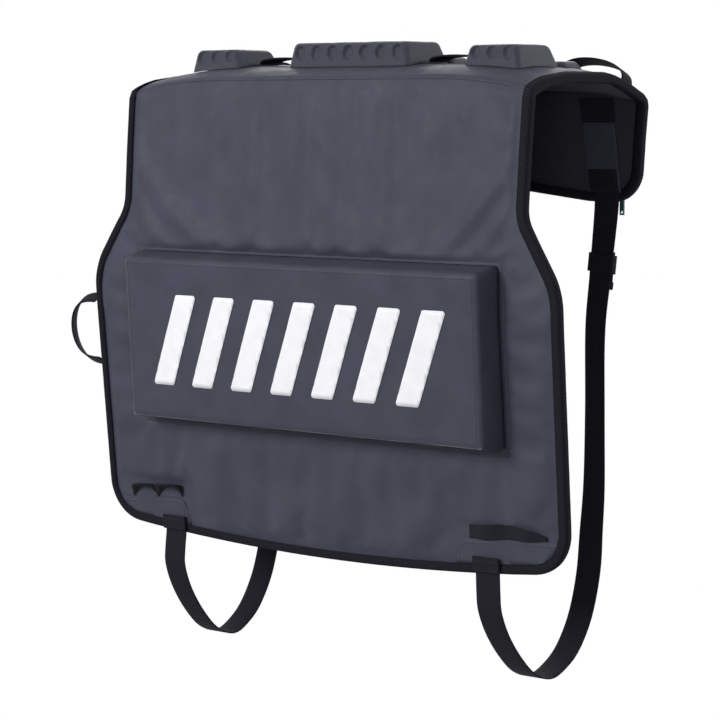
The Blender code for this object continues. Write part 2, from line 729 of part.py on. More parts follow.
def flap_x(s):
    """Middle of the strap on the rear flap, where it leans outwards on its way down."""
    share = (s - BACK_FOLD_S - ANCHOR_START) / (FLAP_EDGE - BACK_FOLD_S - ANCHOR_START)
    return STRAP_SEWN_X + (STRAP_EXIT_X - STRAP_SEWN_X) * share


def on_flap(x, s, height):
    """Point over the rear flap's lining, level across the strap's width."""
    spot = drape(flap_x(s), s, height)
    return Vector((x, spot.y, spot.z))


def strap_ends():
    """Where the strap leaves the front hem, and where it reaches the rear flap."""
    start = FLAP_EDGE + STRAP_EXIT_DROP
    return drape(0, HEM_EDGE, STRAP_HEIGHT), on_flap(0, start, FLAP_HEIGHT)


def strap_route(side, name):
    """The strap's middle line and width directions, from the front end to the rear flap."""
    low, high = strap_ends()
    points = [drape(0, -STRAP_END_DOWN, STRAP_HEIGHT), low.copy()]
    for share, drop in STRAP_BOW:
        hang = drop * STRAP_BELLY + STRAP_SLACK[name] * math.sin(math.pi * share)
        points.append(Vector((0, low.y + (high.y - low.y) * share, low.z - hang)))
    for share, ahead in STRAP_REAR:
        points.append(Vector((0, high.y - ahead * STRAP_AHEAD, low.z + (high.z - low.z) * share)))
    bottom = min(range(len(points)), key=lambda i: points[i].z)
    count = len(points)
    for i, point in enumerate(points):
        share = min(1.0, max(0, i - bottom) / (count - bottom) / STRAP_SPREAD)
        splay = math.cos(math.pi / 2 * share)
        if i < bottom:
            splay = math.sin(math.pi / 2 * max(0, i - 1) / (bottom - 1))
        point.x = STRAP_FRONT_X + (STRAP_LOW_X - STRAP_FRONT_X) * share + STRAP_SPLAY[name] * splay
        point.x -= side * STRAP_SWING * math.sin(math.pi * share)
    points[-1].x = (points[-2].x + STRAP_EXIT_X) / 2
    start = FLAP_EDGE + STRAP_EXIT_DROP
    for step in range(FLAP_STEPS + 1):
        s = start - (start - BACK_FOLD_S - ANCHOR_START) * step / FLAP_STEPS
        points.append(on_flap(flap_x(s), s, FLAP_HEIGHT))
    route = smooth_route(points, STRAP_SPACING)
    across = []
    for point in route:
        point.x *= side
        turn = 0.0
        if point.y > STRAP_MIDDLE_Y:
            rise = (point.z - low.z) / (high.z - low.z)
            turn = math.radians(STRAP_TWIST) * math.sin(math.pi * min(max(rise, 0.0), 1.0))
        across.append(Vector((math.cos(turn), -side * math.sin(turn), 0)))
    return route, across


def on_route(route, across, z):
    """Point, direction and width direction of the rear strand at a height."""
    for i in range(len(route) - 1):
        if route[i].y > STRAP_MIDDLE_Y and route[i].z <= z <= route[i + 1].z:
            share = (z - route[i].z) / (route[i + 1].z - route[i].z)
            along = (route[i + 1] - route[i]).normalized()
            wide = (across[i] - along * across[i].dot(along)).normalized()
            return route[i].lerp(route[i + 1], share), along, wide
    raise ValueError("no rear strand at this height")


def strap_set(side, name):
    """A strap with its sewn patch, sleeve, keeper, doubled end and front tab."""
    route, across = strap_route(side, name)
    finish(webbing(route, across, STRAP_WIDTH, STRAP_THICK), f"strap_{name}", webbing_cloth)

    low = FLAP_HEIGHT - STRAP_THICK / 2 - GAP
    start = BACK_FOLD_S + ANCHOR_START
    split = start + ANCHOR_LENGTH
    sleeve_end = BACK_FOLD_S + SLEEVE_END
    for label, width, begin, end in (("anchor_patch", ANCHOR_WIDTH, start, split - GAP),
                                     ("strap_sleeve", SLEEVE_WIDTH, split, sleeve_end)):
        patch = [Vector((side * flap_x(s) + a * width / 2, s)) for a, s in
                 ((-1, begin), (1, begin), (1, end), (-1, end))]
        finish(quilt(cut(patch), lambda x, s: on_flap(x, s, low - SLEEVE_THICK),
                     lambda x, s: on_flap(x, s, low)), f"{label}_{name}", webbing_cloth)

    spot, along, wide = on_route(route, across, strap_ends()[1].z - KEEPER_DOWN)
    deep = along.cross(wide).normalized()
    if deep.y < 0:
        deep.negate()
    tail_middle = STRAP_THICK + KEEPER_PLAY
    half = STRAP_WIDTH / 2 + KEEPER_PLAY
    near = -STRAP_THICK / 2 - KEEPER_PLAY
    far = tail_middle + STRAP_THICK / 2 + KEEPER_PLAY
    rise = KEEPER_HEIGHT / 2
    sections = []
    for a, b in ((-half, near), (half, near), (half, far), (-half, far)):
        wall_a = math.copysign(KEEPER_WALL, a)
        wall_b = math.copysign(KEEPER_WALL, b - tail_middle / 2)
        corners = ((a, b, -rise), (a + wall_a, b + wall_b, -rise), (a + wall_a, b + wall_b, rise),
                   (a, b, rise))
        sections.append([spot + wide * e + deep * f + along * g for e, f, g in corners])
    finish(ring(sections, closed=True), f"strap_keeper_{name}", webbing_cloth)

    # The strap's loose end lies behind it in the keeper, with its tip folded and sewn
    tip = -rise - TAIL_DROP
    top = rise + TAIL_ABOVE
    near_tail = STRAP_THICK / 2 + KEEPER_PLAY
    profile = ((near_tail, top), (near_tail + STRAP_THICK, top),
               (near_tail + STRAP_THICK, tip + 2 * TAIL_STEP),
               (near_tail + TAIL_END_THICK, tip + TAIL_STEP), (near_tail + TAIL_END_THICK, tip),
               (near_tail, tip))
    ends = [[spot + wide * a + deep * b + along * c for b, c in profile]
            for a in (-STRAP_WIDTH / 2, STRAP_WIDTH / 2)]
    finish(ring(ends, closed=False), f"strap_tail_{name}", webbing_cloth)

    x = side * STRAP_FRONT_X
    tab_low = STRAP_HEIGHT + STRAP_THICK / 2 + GAP
    tab_top = TAB_ABOVE - STRAP_END_DOWN
    tab = rectangle(x - TAB_WIDTH / 2, x + TAB_WIDTH / 2, tab_top - TAB_HEIGHT, tab_top)
    finish(quilt(cut(tab), *layer(tab_low, tab_low + TAB_THICK)), f"strap_tab_{name}",
           webbing_cloth)


# Corner pocket patches and finger bands
PATCH_FIELD = shrink(OUTLINE, BINDING_WIDTH + GAP)


def corner_patch(side, name):
    """Patch sewn over the bottom corner, inside the binding, with one round inner corner."""
    x_from, x_to = sorted((side * (PATCH_INNER_X[name] - PATCH_SPARE), side * 1.0))
    flat = cut(PATCH_FIELD, s_to=PATCH_SPARE - PATCH_DOWN[name], x_from=x_from, x_to=x_to)
    first, last = PATCH_RISE[name], math.pi / 2 - PATCH_LEAN[name]
    normals = []
    for step in range(PATCH_STEPS + 1):
        turn = first + (last - first) * step / PATCH_STEPS
        normals.append(Vector((-side * math.sin(turn), math.cos(turn), 0)))
    corner = Vector((side * PATCH_INNER_X[name], -PATCH_DOWN[name], 0))
    both = normals[0] + normals[-1]
    centre = corner - both * PATCH_ROUND / (1 + normals[0].dot(normals[-1]))
    for normal in normals:
        bmesh.ops.bisect_plane(flat, geom=flat.verts[:] + flat.edges[:] + flat.faces[:], dist=1e-6,
                               plane_co=centre + normal * PATCH_ROUND, plane_no=normal,
                               clear_outer=True)
    bmesh.ops.triangulate(flat, faces=flat.faces)
    low = FACE + GAP
    return quilt(flat, *layer(low, low + PATCH_THICK))


def finger_band(side, name):
    """Crescent band over the patch's top edge, sewn at both ends and in the middle."""
    flat = bmesh.new()
    bmesh.ops.create_grid(flat, x_segments=BAND_COLUMNS, y_segments=2, size=0.5)
    bmesh.ops.triangulate(flat, faces=flat.faces)
    length = BAND_OUTER_X[name] - BAND_INNER_X[name]

    def place(u, v, height):
        share = u + 0.5
        x = BAND_INNER_X[name] + share * length
        foot = (x - PATCH_INNER_X[name]) * math.tan(PATCH_RISE[name]) - PATCH_DOWN[name] + GAP
        bow = abs(math.sin(2 * math.pi * share))
        turn = BAND_TURN[name] * bow ** 0.5
        crest = BAND_HEIGHT + (BAND_TIP[name] - BAND_HEIGHT) * share ** BAND_POWER
        up = (v + 0.5) * crest * math.cos(turn) + (BAND_THICK - height) * math.sin(turn)
        out = (v + 0.5) * crest * math.sin(turn) + height * math.cos(turn)
        s = foot + BAND_OPEN[name] * bow ** 0.7 + up
        return drape(side * x, s, FACE + GAP + BAND_LIFT[name] * bow + out)

    return quilt(flat, lambda u, v: place(u, v, 0), lambda u, v: place(u, v, BAND_THICK))


def arch(x_from, x_to, s, rise, width, thickness):
    """Webbing that stands up in an arch on the cover, square to it."""
    start, end = drape(x_from, s, FACE + GAP), drape(x_to, s, FACE + GAP)
    out = (drape(x_from, s, 1.0) - drape(x_from, s, 0.0)).normalized()
    wide = out.cross(Vector((1, 0, 0)))
    route = [start]
    for step in range(LOOP_STEPS + 1):
        angle = math.pi * step / LOOP_STEPS
        bow = max(0.0, math.sin(angle)) ** ARCH_FULLNESS
        height = ARCH_FOOT + (rise - ARCH_FOOT) * bow
        route.append(start.lerp(end, (1 - math.cos(angle)) / 2) + out * height)
    route.append(end)
    return webbing(route, [wide] * len(route), width, thickness)


# Pieces that come in a left and right pair
for side, name in ((-1, "left"), (1, "right")):
    strap_set(side, name)
    finish(corner_patch(side, name), f"corner_patch_{name}", tarpaulin)
    finish(finger_band(side, name), f"finger_band_{name}", webbing_cloth)

    loop = arch(side * LOOP_INNER_X, side * LOOP_OUTER_X, s_at(LOOP_Y), LOOP_RISE, LOOP_WIDTH,
                LOOP_THICK)
    finish(loop, f"rear_loop_{name}", webbing_cloth)

    cradle = side * (CENTRE_BLOCK_WIDTH + CRADLE_WIDTH) / 2
    half_span = BIKE_STRAP_SPAN / 2
    strap = arch(cradle - half_span, cradle + half_span, s_at(BIKE_STRAP_Y), BIKE_STRAP_RISE,
                 BIKE_STRAP_WIDTH, BIKE_STRAP_THICK)
    finish(strap, f"bike_strap_{name}", webbing_cloth)


def beside_edge(share, out):
    """Point beside the left edge, in the sheet's mid-plane, along the handle's span."""
    s = -HANDLE_TOP_DOWN - HANDLE_SPAN * share
    down = (-s - SKIRT_DOWN) / (FRONT_LENGTH - HEM_BOW - SKIRT_DOWN)
    edge = SKIRT_HALF + (HEM_HALF - SKIRT_HALF) * down
    return drape(-edge - GAP - out, s, FACE / 2)


# Carrying handle: a webbing bow on the left edge
route = [beside_edge(0, 0)]
for step in range(HANDLE_STEPS + 1):
    angle = math.pi * step / HANDLE_STEPS
    bow = max(0.0, math.sin(angle)) ** HANDLE_FULLNESS
    reach = HANDLE_FOOT + (HANDLE_REACH - HANDLE_FOOT) * bow
    route.append(beside_edge((1 - math.cos(angle)) / 2, reach))
route.append(beside_edge(1, 0))
across = []
for before, after in zip(route[:1] + route[:-1], route[1:] + route[-1:]):
    outward = Vector((0, 1, 0)).cross(after - before).normalized()
    across.append(Vector((0, math.cos(HANDLE_TURN), 0)) + outward * math.sin(HANDLE_TURN))
finish(webbing(route, across, HANDLE_WIDTH, HANDLE_THICK), "side_handle", webbing_cloth)

# Zip of the rear pocket: tapes, teeth, slider with its bail, and the hanging pull
ZIP_S = BACK_FOLD_S + ZIP_DOWN
tape_low = FACE + GAP
tape = rectangle(-ZIP_HALF_LENGTH, ZIP_HALF_LENGTH, ZIP_S - TAPE_WIDTH / 2, ZIP_S + TAPE_WIDTH / 2)
finish(quilt(cut(tape), *layer(tape_low, tape_low + TAPE_THICK)), "zip_tape", zip_plastic)
teeth_low = tape_low + TAPE_THICK + GAP
teeth = rectangle(-ZIP_HALF_LENGTH + TEETH_WIDTH, ZIP_HALF_LENGTH - TEETH_WIDTH,
                  ZIP_S - TEETH_WIDTH / 2, ZIP_S + TEETH_WIDTH / 2)
finish(quilt(cut(teeth), *layer(teeth_low, teeth_low + TEETH_THICK)), "zip_teeth", zip_plastic)

slider_low = teeth_low + TEETH_THICK + GAP
slider_spot = drape(ZIP_HALF_LENGTH - SLIDER_STOP, ZIP_S, slider_low)
OUT = (drape(0, ZIP_S, 1.0) - drape(0, ZIP_S, 0.0)).normalized()
UP = Vector((1, 0, 0)).cross(OUT) * -1
if UP.z < 0:
    UP.negate()


def beside(base, x, out, up):
    return base + Vector((x, 0, 0)) + OUT * out + UP * up


def slab(base, x, out, up):
    """Block spanning three pairs of limits in the zip's frame."""
    corners = ((0, 0), (1, 0), (1, 1), (0, 1))
    shape = [[beside(base, a, out[i], up[j]) for i, j in corners] for a in x]
    return ring(shape, closed=False)


half_bail = BAIL_INSIDE / 2
body = slab(slider_spot, (-SLIDER_LENGTH / 2, SLIDER_LENGTH / 2), (0, SLIDER_THICK),
            (-SLIDER_HEIGHT / 2, SLIDER_HEIGHT / 2))
slider = finish(body, "zip_slider", zip_metal)
bail_points = [(-half_bail - BAIL_THICK, 0), (-half_bail - BAIL_THICK, BAIL_REACH),
               (half_bail + BAIL_THICK, BAIL_REACH), (half_bail + BAIL_THICK, 0), (half_bail, 0),
               (half_bail, BAIL_REACH - BAIL_THICK), (-half_bail, BAIL_REACH - BAIL_THICK),
               (-half_bail, 0)]
bail = [[beside(slider_spot, a, SLIDER_THICK + (b or -BAIL_ROOT), c * BAIL_THICK / 2)
         for a, b in bail_points] for c in (-1, 1)]
combine(slider, ring(bail, closed=False), "UNION")

AXIS_OUT = SLIDER_THICK + BAIL_REACH - BAIL_THICK / 2
hinge = beside(slider_spot, 0, AXIS_OUT, 0)
eye_in = BAIL_THICK / 2 * math.sqrt(2) + PULL_PLAY
eye_out = eye_in + PULL_EYE_WALL


def pull_blank():
    """Eye round the bail with a strip hanging down from it."""
    shape = []
    neck = math.asin(PULL_THICK / 2 / eye_out)
    for step in range(PULL_SIDES + 1):
        angle = -math.pi / 2 + neck + (2 * math.pi - 2 * neck) * step / PULL_SIDES
        shape.append((eye_out * math.cos(angle), eye_out * math.sin(angle)))
    shape += [(-PULL_THICK / 2, -PULL_LENGTH), (PULL_THICK / 2, -PULL_LENGTH)]
    half = PULL_WIDTH / 2
    ends = [[hinge + Vector((a, b, c)) for b, c in shape] for a in (-half, half)]
    return ring(ends, closed=False)


def drill(bm, centre, axis, radius, length):
    """Add a round cutter about an axis to a bmesh of cutters."""
    made = bmesh.ops.create_cone(bm, cap_ends=True, segments=12, radius1=radius, radius2=radius,
                                 depth=length)
    turn = Vector((0, 0, 1)).rotation_difference(axis).to_matrix()
    bmesh.ops.rotate(bm, verts=made["verts"], cent=(0, 0, 0), matrix=turn)
    bmesh.ops.translate(bm, verts=made["verts"], vec=centre)


pull = finish(pull_blank(), "zip_pull", pull_rubber)
cutters = bmesh.new()
drill(cutters, hinge, Vector((1, 0, 0)), eye_in, 4 * PULL_WIDTH)
drill(cutters, hinge + Vector((0, 0, PULL_HOLE - PULL_LENGTH)), Vector((0, 1, 0)), PULL_HOLE / 2,
      4 * PULL_THICK)
combine(pull, cutters, "DIFFERENCE")
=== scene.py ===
import bisect
import math

import bmesh
import bpy
from mathutils import Matrix, Vector, noise
from mathutils.bvhtree import BVHTree


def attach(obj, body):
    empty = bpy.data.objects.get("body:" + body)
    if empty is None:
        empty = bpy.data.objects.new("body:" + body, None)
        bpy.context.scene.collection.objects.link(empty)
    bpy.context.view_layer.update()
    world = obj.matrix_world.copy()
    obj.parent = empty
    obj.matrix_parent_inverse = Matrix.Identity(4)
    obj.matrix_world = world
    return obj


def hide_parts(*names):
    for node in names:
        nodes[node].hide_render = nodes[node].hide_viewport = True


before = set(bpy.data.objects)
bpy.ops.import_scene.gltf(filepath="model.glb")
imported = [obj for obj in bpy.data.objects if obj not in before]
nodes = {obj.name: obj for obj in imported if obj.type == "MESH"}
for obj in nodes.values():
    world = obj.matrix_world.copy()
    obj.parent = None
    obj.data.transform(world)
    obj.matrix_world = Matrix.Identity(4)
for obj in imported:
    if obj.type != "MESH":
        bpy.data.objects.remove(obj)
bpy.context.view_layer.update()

# Camera
# It stands in front of the pad and to its right, level with the upper part, and looks through a
# long lens, a little downwards.
CAMERA_PLACE = (2.0522, -2.4841, -0.0503)
CAMERA_AZIMUTH = math.radians(40)
CAMERA_PITCH = math.radians(5.35)
camera_data = bpy.data.cameras.new("camera")
camera_data.lens = 132.35
camera_data.sensor_width = 36
camera = bpy.data.objects.new("camera", camera_data)
camera.location = CAMERA_PLACE
camera.rotation_euler = (math.pi / 2 - CAMERA_PITCH, 0, CAMERA_AZIMUTH)
bpy.context.scene.collection.objects.link(camera)
bpy.context.scene.camera = camera
bpy.context.scene.view_settings.view_transform = "Standard"


def wire(look, kind, inputs=None, **settings):
    """Add a shader node; inputs maps sockets to values, or to the sockets that feed them."""
    tree = look.node_tree
    made = tree.nodes.new(kind)
    for key, value in settings.items():
        setattr(made, key, value)
    for key, value in (inputs or {}).items():
        if isinstance(value, bpy.types.NodeSocket):
            tree.links.new(value, made.inputs[key])
        else:
            made.inputs[key].default_value = value
    return made


# Studio
# The pad hangs free in a white surround. The main lamp stands in front of it, to the left and a
# little above, with a weak fill on the right; lamps above and behind draw its edges.
world = bpy.data.worlds.new("studio")
world.use_nodes = True
bpy.context.scene.world = world
background = world.node_tree.nodes["Background"]
rays = wire(world, "ShaderNodeLightPath")
direct = wire(world, "ShaderNodeMath", {0: rays.outputs["Is Camera Ray"],
                                        1: rays.outputs["Is Transmission Ray"]}, operation="MAXIMUM")
seen = wire(world, "ShaderNodeMath", {0: direct.outputs[0], 1: rays.outputs["Is Glossy Ray"]},
            operation="MAXIMUM")
sky_place = wire(world, "ShaderNodeTexCoord")
sky_split = wire(world, "ShaderNodeSeparateXYZ", {0: sky_place.outputs["Generated"]})
sky_share = wire(world, "ShaderNodeMapRange", {0: sky_split.outputs["Z"], 1: -0.4, 2: 0.9, 3: 0.24,
                                               4: 0.22})
sky = wire(world, "ShaderNodeCombineColor", {0: sky_share.outputs[0], 1: sky_share.outputs[0],
                                             2: sky_share.outputs[0]})
shown = wire(world, "ShaderNodeMix", {"Factor": seen.outputs[0], 6: sky.outputs[0],
                                      7: (1, 1, 1, 1)}, data_type="RGBA")
world.node_tree.links.new(shown.outputs[2], background.inputs["Color"])
background.inputs["Strength"].default_value = 1.0


def lamp(name, place, target, size, watts):
    data = bpy.data.lights.new(name, "AREA")
    data.shape = "RECTANGLE"
    data.size, data.size_y = size
    data.energy = watts
    made = bpy.data.objects.new(name, data)
    made.location = place
    made.rotation_euler = (Vector(target) - Vector(place)).to_track_quat("-Z", "Y").to_euler()
    made.visible_camera = False
    bpy.context.scene.collection.objects.link(made)


lamp("front_key", (-1.1, -3.0, 0.9), (0, 0, -0.15), (1.3, 1.2), 92)
lamp("side_fill", (1.8, -2.4, -0.1), (0.2, 0, -0.2), (1.0, 1.0), 16)
lamp("overhead", (0.2, -0.3, 2.4), (0, 0, 0), (1.6, 1.2), 2)
lamp("behind_right", (2.1, 2.5, 1.1), (0.1, 0, 0), (1.4, 1.2), 70)
lamp("behind_left", (-1.9, 2.4, 1.0), (0, 0, -0.2), (1.4, 1.2), 16)

# Lining
# The inner face is a soft brushed knit, cut flat in a front, a top and a rear panel, sewn together
# at the two folds and hung over the tailgate. All layers share this cut and this hang: x runs along
# the tailgate, s along the cloth from the front fold, and heights stand off the lining's inner face.
LINING_THICK = 0.0010
FLAT_FRONT, FLAT_BACK, FLAT_RADIUS = 0.037, 0.043, 0.070
FRONT_SHOULDER = (-0.085, -0.006)
BACK_SHOULDER = (0.075, -0.010)
SHOULDER_RADIUS = 0.055
FRONT_FOLD = (-0.1085, -0.015)
BACK_FOLD = (0.1080, -0.0235)
FOLD_RADIUS = 0.0055
BULGE = (-0.1245, -0.2425)
BULGE_RADIUS = 0.600
HEM_POINT = (-0.0890, -0.6425)
FLAP_POINT = (0.0930, -0.1835)
DROOP, DROOP_START, DROOP_POWER, DROOP_LIMIT = 0.016, 0.150, 2.5, 1.15
DROOP_FADE_FRONT, DROOP_FADE_BACK = 0.080, 0.055
TOP_HALF = 0.3115
NECK_HALF, NECK_DOWN, NECK_RADIUS = 0.3105, 0.153, 0.045
SKIRT_HALF, SKIRT_DOWN, SKIRT_RADIUS = 0.3610, 0.2305, 0.080
HEM_HALF, FRONT_LENGTH, HEM_BOW = 0.3580, 0.569, 0.020
FRONT_CORNER_RADIUS = 0.052
FLAP_LENGTH, FLAP_LOBE = 0.117, 0.0135
FLAP_LOBE_START, FLAP_LOBE_EASE = 0.120, 0.120
FLAP_LOBE_END, FLAP_LOBE_ROUND = 0.240, 0.080
FLAP_CORNER_RADIUS = 0.036
HEM_STEPS = 12
UNDER_BINDING = 0.0013
FINE_ARC = math.radians(6)
GAP = 0.0003
LINING_CELL = {"front": 0.008, "top": 0.006, "rear": 0.006}
LINING_SWELL, SWELL_SIZE, SWELL_FADE = 0.0012, 0.070, (0.010, 0.035)


def rounded(corners, arc=FINE_ARC):
    """Points of a polyline whose inner corners (a, b, radius) are rounded to arcs."""
    points = [Vector(corners[0][:2])]
    for before, corner, after in zip(corners, corners[1:], corners[2:]):
        here = Vector(corner[:2])
        back = (Vector(before[:2]) - here).normalized()
        ahead = (Vector(after[:2]) - here).normalized()
        turn = math.pi - back.angle(ahead)
        if corner[2] == 0 or turn < 1e-4:
            points.append(here)
            continue
        reach = corner[2] * math.tan(turn / 2)
        centre = here + (back + ahead).normalized() * (corner[2] / math.cos(turn / 2))
        steps = max(3, math.ceil(turn / arc))
        start = here + back * reach - centre
        side = 1 if back.cross(ahead) < 0 else -1
        for step in range(steps + 1):
            points.append(centre + Matrix.Rotation(side * turn * step / steps, 2) @ start)
    points.append(Vector(corners[-1][:2]))
    return points


PROFILE = rounded([(*HEM_POINT, 0), (*BULGE, BULGE_RADIUS), (*FRONT_FOLD, FOLD_RADIUS),
                   (*FRONT_SHOULDER, SHOULDER_RADIUS), (-FLAT_FRONT, 0, FLAT_RADIUS),
                   (FLAT_BACK, 0, FLAT_RADIUS), (*BACK_SHOULDER, SHOULDER_RADIUS),
                   (*BACK_FOLD, FOLD_RADIUS), (*FLAP_POINT, 0)])


def nearest(points, target):
    return min(range(len(points)), key=lambda i: (points[i] - Vector(target)).length)


from_hem = [0.0]
for low, high in zip(PROFILE, PROFILE[1:]):
    from_hem.append(from_hem[-1] + (high - low).length)
fold_at = from_hem[nearest(PROFILE, FRONT_FOLD)]
LENGTHS = [length - fold_at for length in from_hem]
BACK_FOLD_S = LENGTHS[nearest(PROFILE, BACK_FOLD)]
bends = []
for low, high in zip(PROFILE, PROFILE[1:]):
    along = (high - low).normalized()
    bends.append(Vector((-along.y, along.x)))
NORMALS = [bends[0]]
for first, second in zip(bends, bends[1:]):
    middle = (first + second).normalized()
    NORMALS.append(middle / middle.dot(first))
NORMALS.append(bends[-1])


def droop(x, s):
    """How far the top corners hang below the middle."""
    out = max(0.0, abs(x) - DROOP_START) / (TOP_HALF - DROOP_START)
    fade = 1.0
    if s < 0:
        fade = max(0.0, 1 + s / DROOP_FADE_FRONT)
    elif s > BACK_FOLD_S:
        fade = max(0.0, 1 - (s - BACK_FOLD_S) / DROOP_FADE_BACK)
    return DROOP * min(out, DROOP_LIMIT) ** DROOP_POWER * fade


def drape(x, s, height):
    """Place a point of the flat cut, at a height above the lining's inner face."""
    i = min(max(bisect.bisect_right(LENGTHS, s) - 1, 0), len(LENGTHS) - 2)
    share = (s - LENGTHS[i]) / (LENGTHS[i + 1] - LENGTHS[i])
    spot = PROFILE[i].lerp(PROFILE[i + 1], share)
    spot += NORMALS[i].lerp(NORMALS[i + 1], share) * height
    return Vector((x, spot.x, spot.y - droop(x, s)))


def out_of(x, s):
    """Direction that points out of the cloth."""
    return (drape(x, s, 1.0) - drape(x, s, 0.0)).normalized()


def s_at(y):
    """Distance along the top of the cloth at which the lining is at y."""
    for i in range(len(PROFILE) - 1):
        if LENGTHS[i] >= -1e-6 and PROFILE[i].x <= y <= PROFILE[i + 1].x:
            share = (y - PROFILE[i].x) / (PROFILE[i + 1].x - PROFILE[i].x)
            return LENGTHS[i] + share * (LENGTHS[i + 1] - LENGTHS[i])
    return LENGTHS[-1]


def hem(x):
    """Distance along the cloth of the front hem, which bows down in the middle."""
    return -FRONT_LENGTH + HEM_BOW * (x / HEM_HALF) ** 2


def cut_outline():
    """Closed outline of the flat sheet in (x, s), anticlockwise."""
    flap = BACK_FOLD_S + FLAP_LENGTH
    right = [(0, hem(0), 0)]
    for step in range(1, HEM_STEPS):
        x = (HEM_HALF - FRONT_CORNER_RADIUS) * step / HEM_STEPS
        right.append((x, hem(x), 0))
    right += [(HEM_HALF, hem(HEM_HALF), FRONT_CORNER_RADIUS), (SKIRT_HALF, -SKIRT_DOWN, SKIRT_RADIUS),
              (NECK_HALF, -NECK_DOWN, NECK_RADIUS), (TOP_HALF, 0, 0),
              (TOP_HALF, flap + FLAP_LOBE, FLAP_CORNER_RADIUS),
              (FLAP_LOBE_END, flap + FLAP_LOBE, FLAP_LOBE_ROUND),
              (FLAP_LOBE_START, flap, FLAP_LOBE_EASE), (0, flap, 0)]
    half = rounded(right)
    return half + [Vector((-p.x, p.y)) for p in reversed(half[1:-1])]


def shrink(outline, distance):
    """Offset a closed anticlockwise outline inwards."""
    moved = []
    for i, here in enumerate(outline):
        back = (here - outline[i - 1]).normalized()
        ahead = (outline[(i + 1) % len(outline)] - here).normalized()
        inward = Vector((-(back + ahead).y, (back + ahead).x)).normalized()
        moved.append(here + inward * distance / inward.dot(Vector((-back.y, back.x))))
    return moved


OUTLINE = cut_outline()
INSIDE = shrink(OUTLINE, UNDER_BINDING)


def slice_off(bm, point, normal, clear=False):
    """Score a flat cloth along a line, or cut off what lies beyond it."""
    bmesh.ops.bisect_plane(bm, geom=bm.verts[:] + bm.edges[:] + bm.faces[:], dist=1e-6,
                           plane_co=point, plane_no=normal, clear_outer=clear)


def score(bm, axis, start, size, cell):
    """Score a mesh into even strips of about one cell, along an axis."""
    count = max(1, round(size / cell))
    normal = Vector((0, 0, 0))
    normal[axis] = 1
    for step in range(1, count):
        slice_off(bm, normal * (start + size * step / count), normal)


def unfold(bm, flat_of):
    """Keep the flat place of each corner of each face as UV, in metres."""
    weave = bm.loops.layers.uv.new("cloth")
    for face in bm.faces:
        for loop in face.loops:
            loop[weave].uv = flat_of(face, loop.vert.co)


def cut(outline, cell, s_from=-1.0, s_to=1.0, x_from=-1.0, x_to=1.0):
    """Flat cloth of an outline in square cells; its own plane is kept as UV, in metres."""
    bm = bmesh.new()
    bm.faces.new([bm.verts.new((p.x, p.y, 0)) for p in outline])
    for point, normal in (((0, s_from, 0), (0, -1, 0)), ((0, s_to, 0), (0, 1, 0)),
                          ((x_from, 0, 0), (-1, 0, 0)), ((x_to, 0, 0), (1, 0, 0))):
        slice_off(bm, point, normal, clear=True)
    for axis in (0, 1):
        low = min(v.co[axis] for v in bm.verts)
        high = max(v.co[axis] for v in bm.verts)
        score(bm, axis, low, high - low, cell)
    bmesh.ops.remove_doubles(bm, verts=bm.verts, dist=min(cell * 0.12, 0.001))
    unfold(bm, lambda face, spot: spot.xy)
    return bm


def flat_size(bm):
    """Width, length and area of a flat cloth."""
    wide, long = (max(v.co[axis] for v in bm.verts) - min(v.co[axis] for v in bm.verts)
                  for axis in (0, 1))
    return wide, long, sum(f.calc_area() for f in bm.faces)


def place(bm, where):
    """Move each point of a flat cloth to where(x, s)."""
    for vert in bm.verts:
        vert.co = where(vert.co.x, vert.co.y)
    bm.normal_update()
    return bm


def distance_to(outline):
    """Function that gives how far a point of the flat sheet lies from an outline."""
    wall = bmesh.new()
    rows = [[wall.verts.new((p.x, p.y, z)) for p in outline] for z in (-1, 1)]
    for i in range(len(outline)):
        wall.faces.new([rows[0][i - 1], rows[0][i], rows[1][i], rows[1][i - 1]])
    tree = BVHTree.FromBMesh(wall)
    wall.free()
    return lambda x, s: tree.find_nearest(Vector((x, s, 0)))[3]


from_edge = distance_to(OUTLINE)


def clamp(value):
    return min(1.0, max(0.0, value))


def ease(low, high, value):
    """Smooth step from 0 at low to 1 at high."""
    share = clamp((value - low) / (high - low))
    return share * share * (3 - 2 * share)


def cloudy(x, s, size, seed=0.0):
    """Smooth noise from 0 to 1 over the cloth, with waves of about a given size."""
    return 0.5 + 0.5 * noise.noise(Vector((x / size, s / size, seed)))


def piece(bm, name, look, slot, *replaced, body="pad", smooth=40):
    """Turn a bmesh into a finished piece that stands for its CAD nodes."""
    mesh = bpy.data.meshes.new(name)
    bm.to_mesh(mesh)
    bm.free()
    mesh.shade_smooth()
    mesh.set_sharp_from_angle(angle=math.radians(smooth))
    made = bpy.data.objects.new(name, mesh)
    mesh.materials.append(look)
    bpy.context.scene.collection.objects.link(made)
    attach(made, body)
    if replaced:
        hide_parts(*replaced)
    return made


def thicken(made, thickness, offset=-1):
    """Give a modelled cloth its thickness."""
    wall = made.modifiers.new("thickness", "SOLIDIFY")
    wall.thickness = thickness
    wall.offset = offset
    wall.use_even_offset = False


def soften(made, width, segments=2):
    """Round the cut edges of a thin piece."""
    edge = made.modifiers.new("edge", "BEVEL")
    edge.width = width
    edge.segments = segments
    edge.limit_method = "ANGLE"
    edge.angle_limit = math.radians(50)
    edge.harden_normals = False


def blank(name, roughness, specular):
    """A new material and its shader."""
    look = bpy.data.materials.new(name)
    look.use_nodes = True
    shader = look.node_tree.nodes["Principled BSDF"]
    shader.inputs["Roughness"].default_value = roughness
    shader.inputs["Specular IOR Level"].default_value = specular
    return look, shader


def cloth_place(look):
    """The piece's own flat coordinates, in metres."""
    return wire(look, "ShaderNodeUVMap", uv_map="cloth").outputs[0]


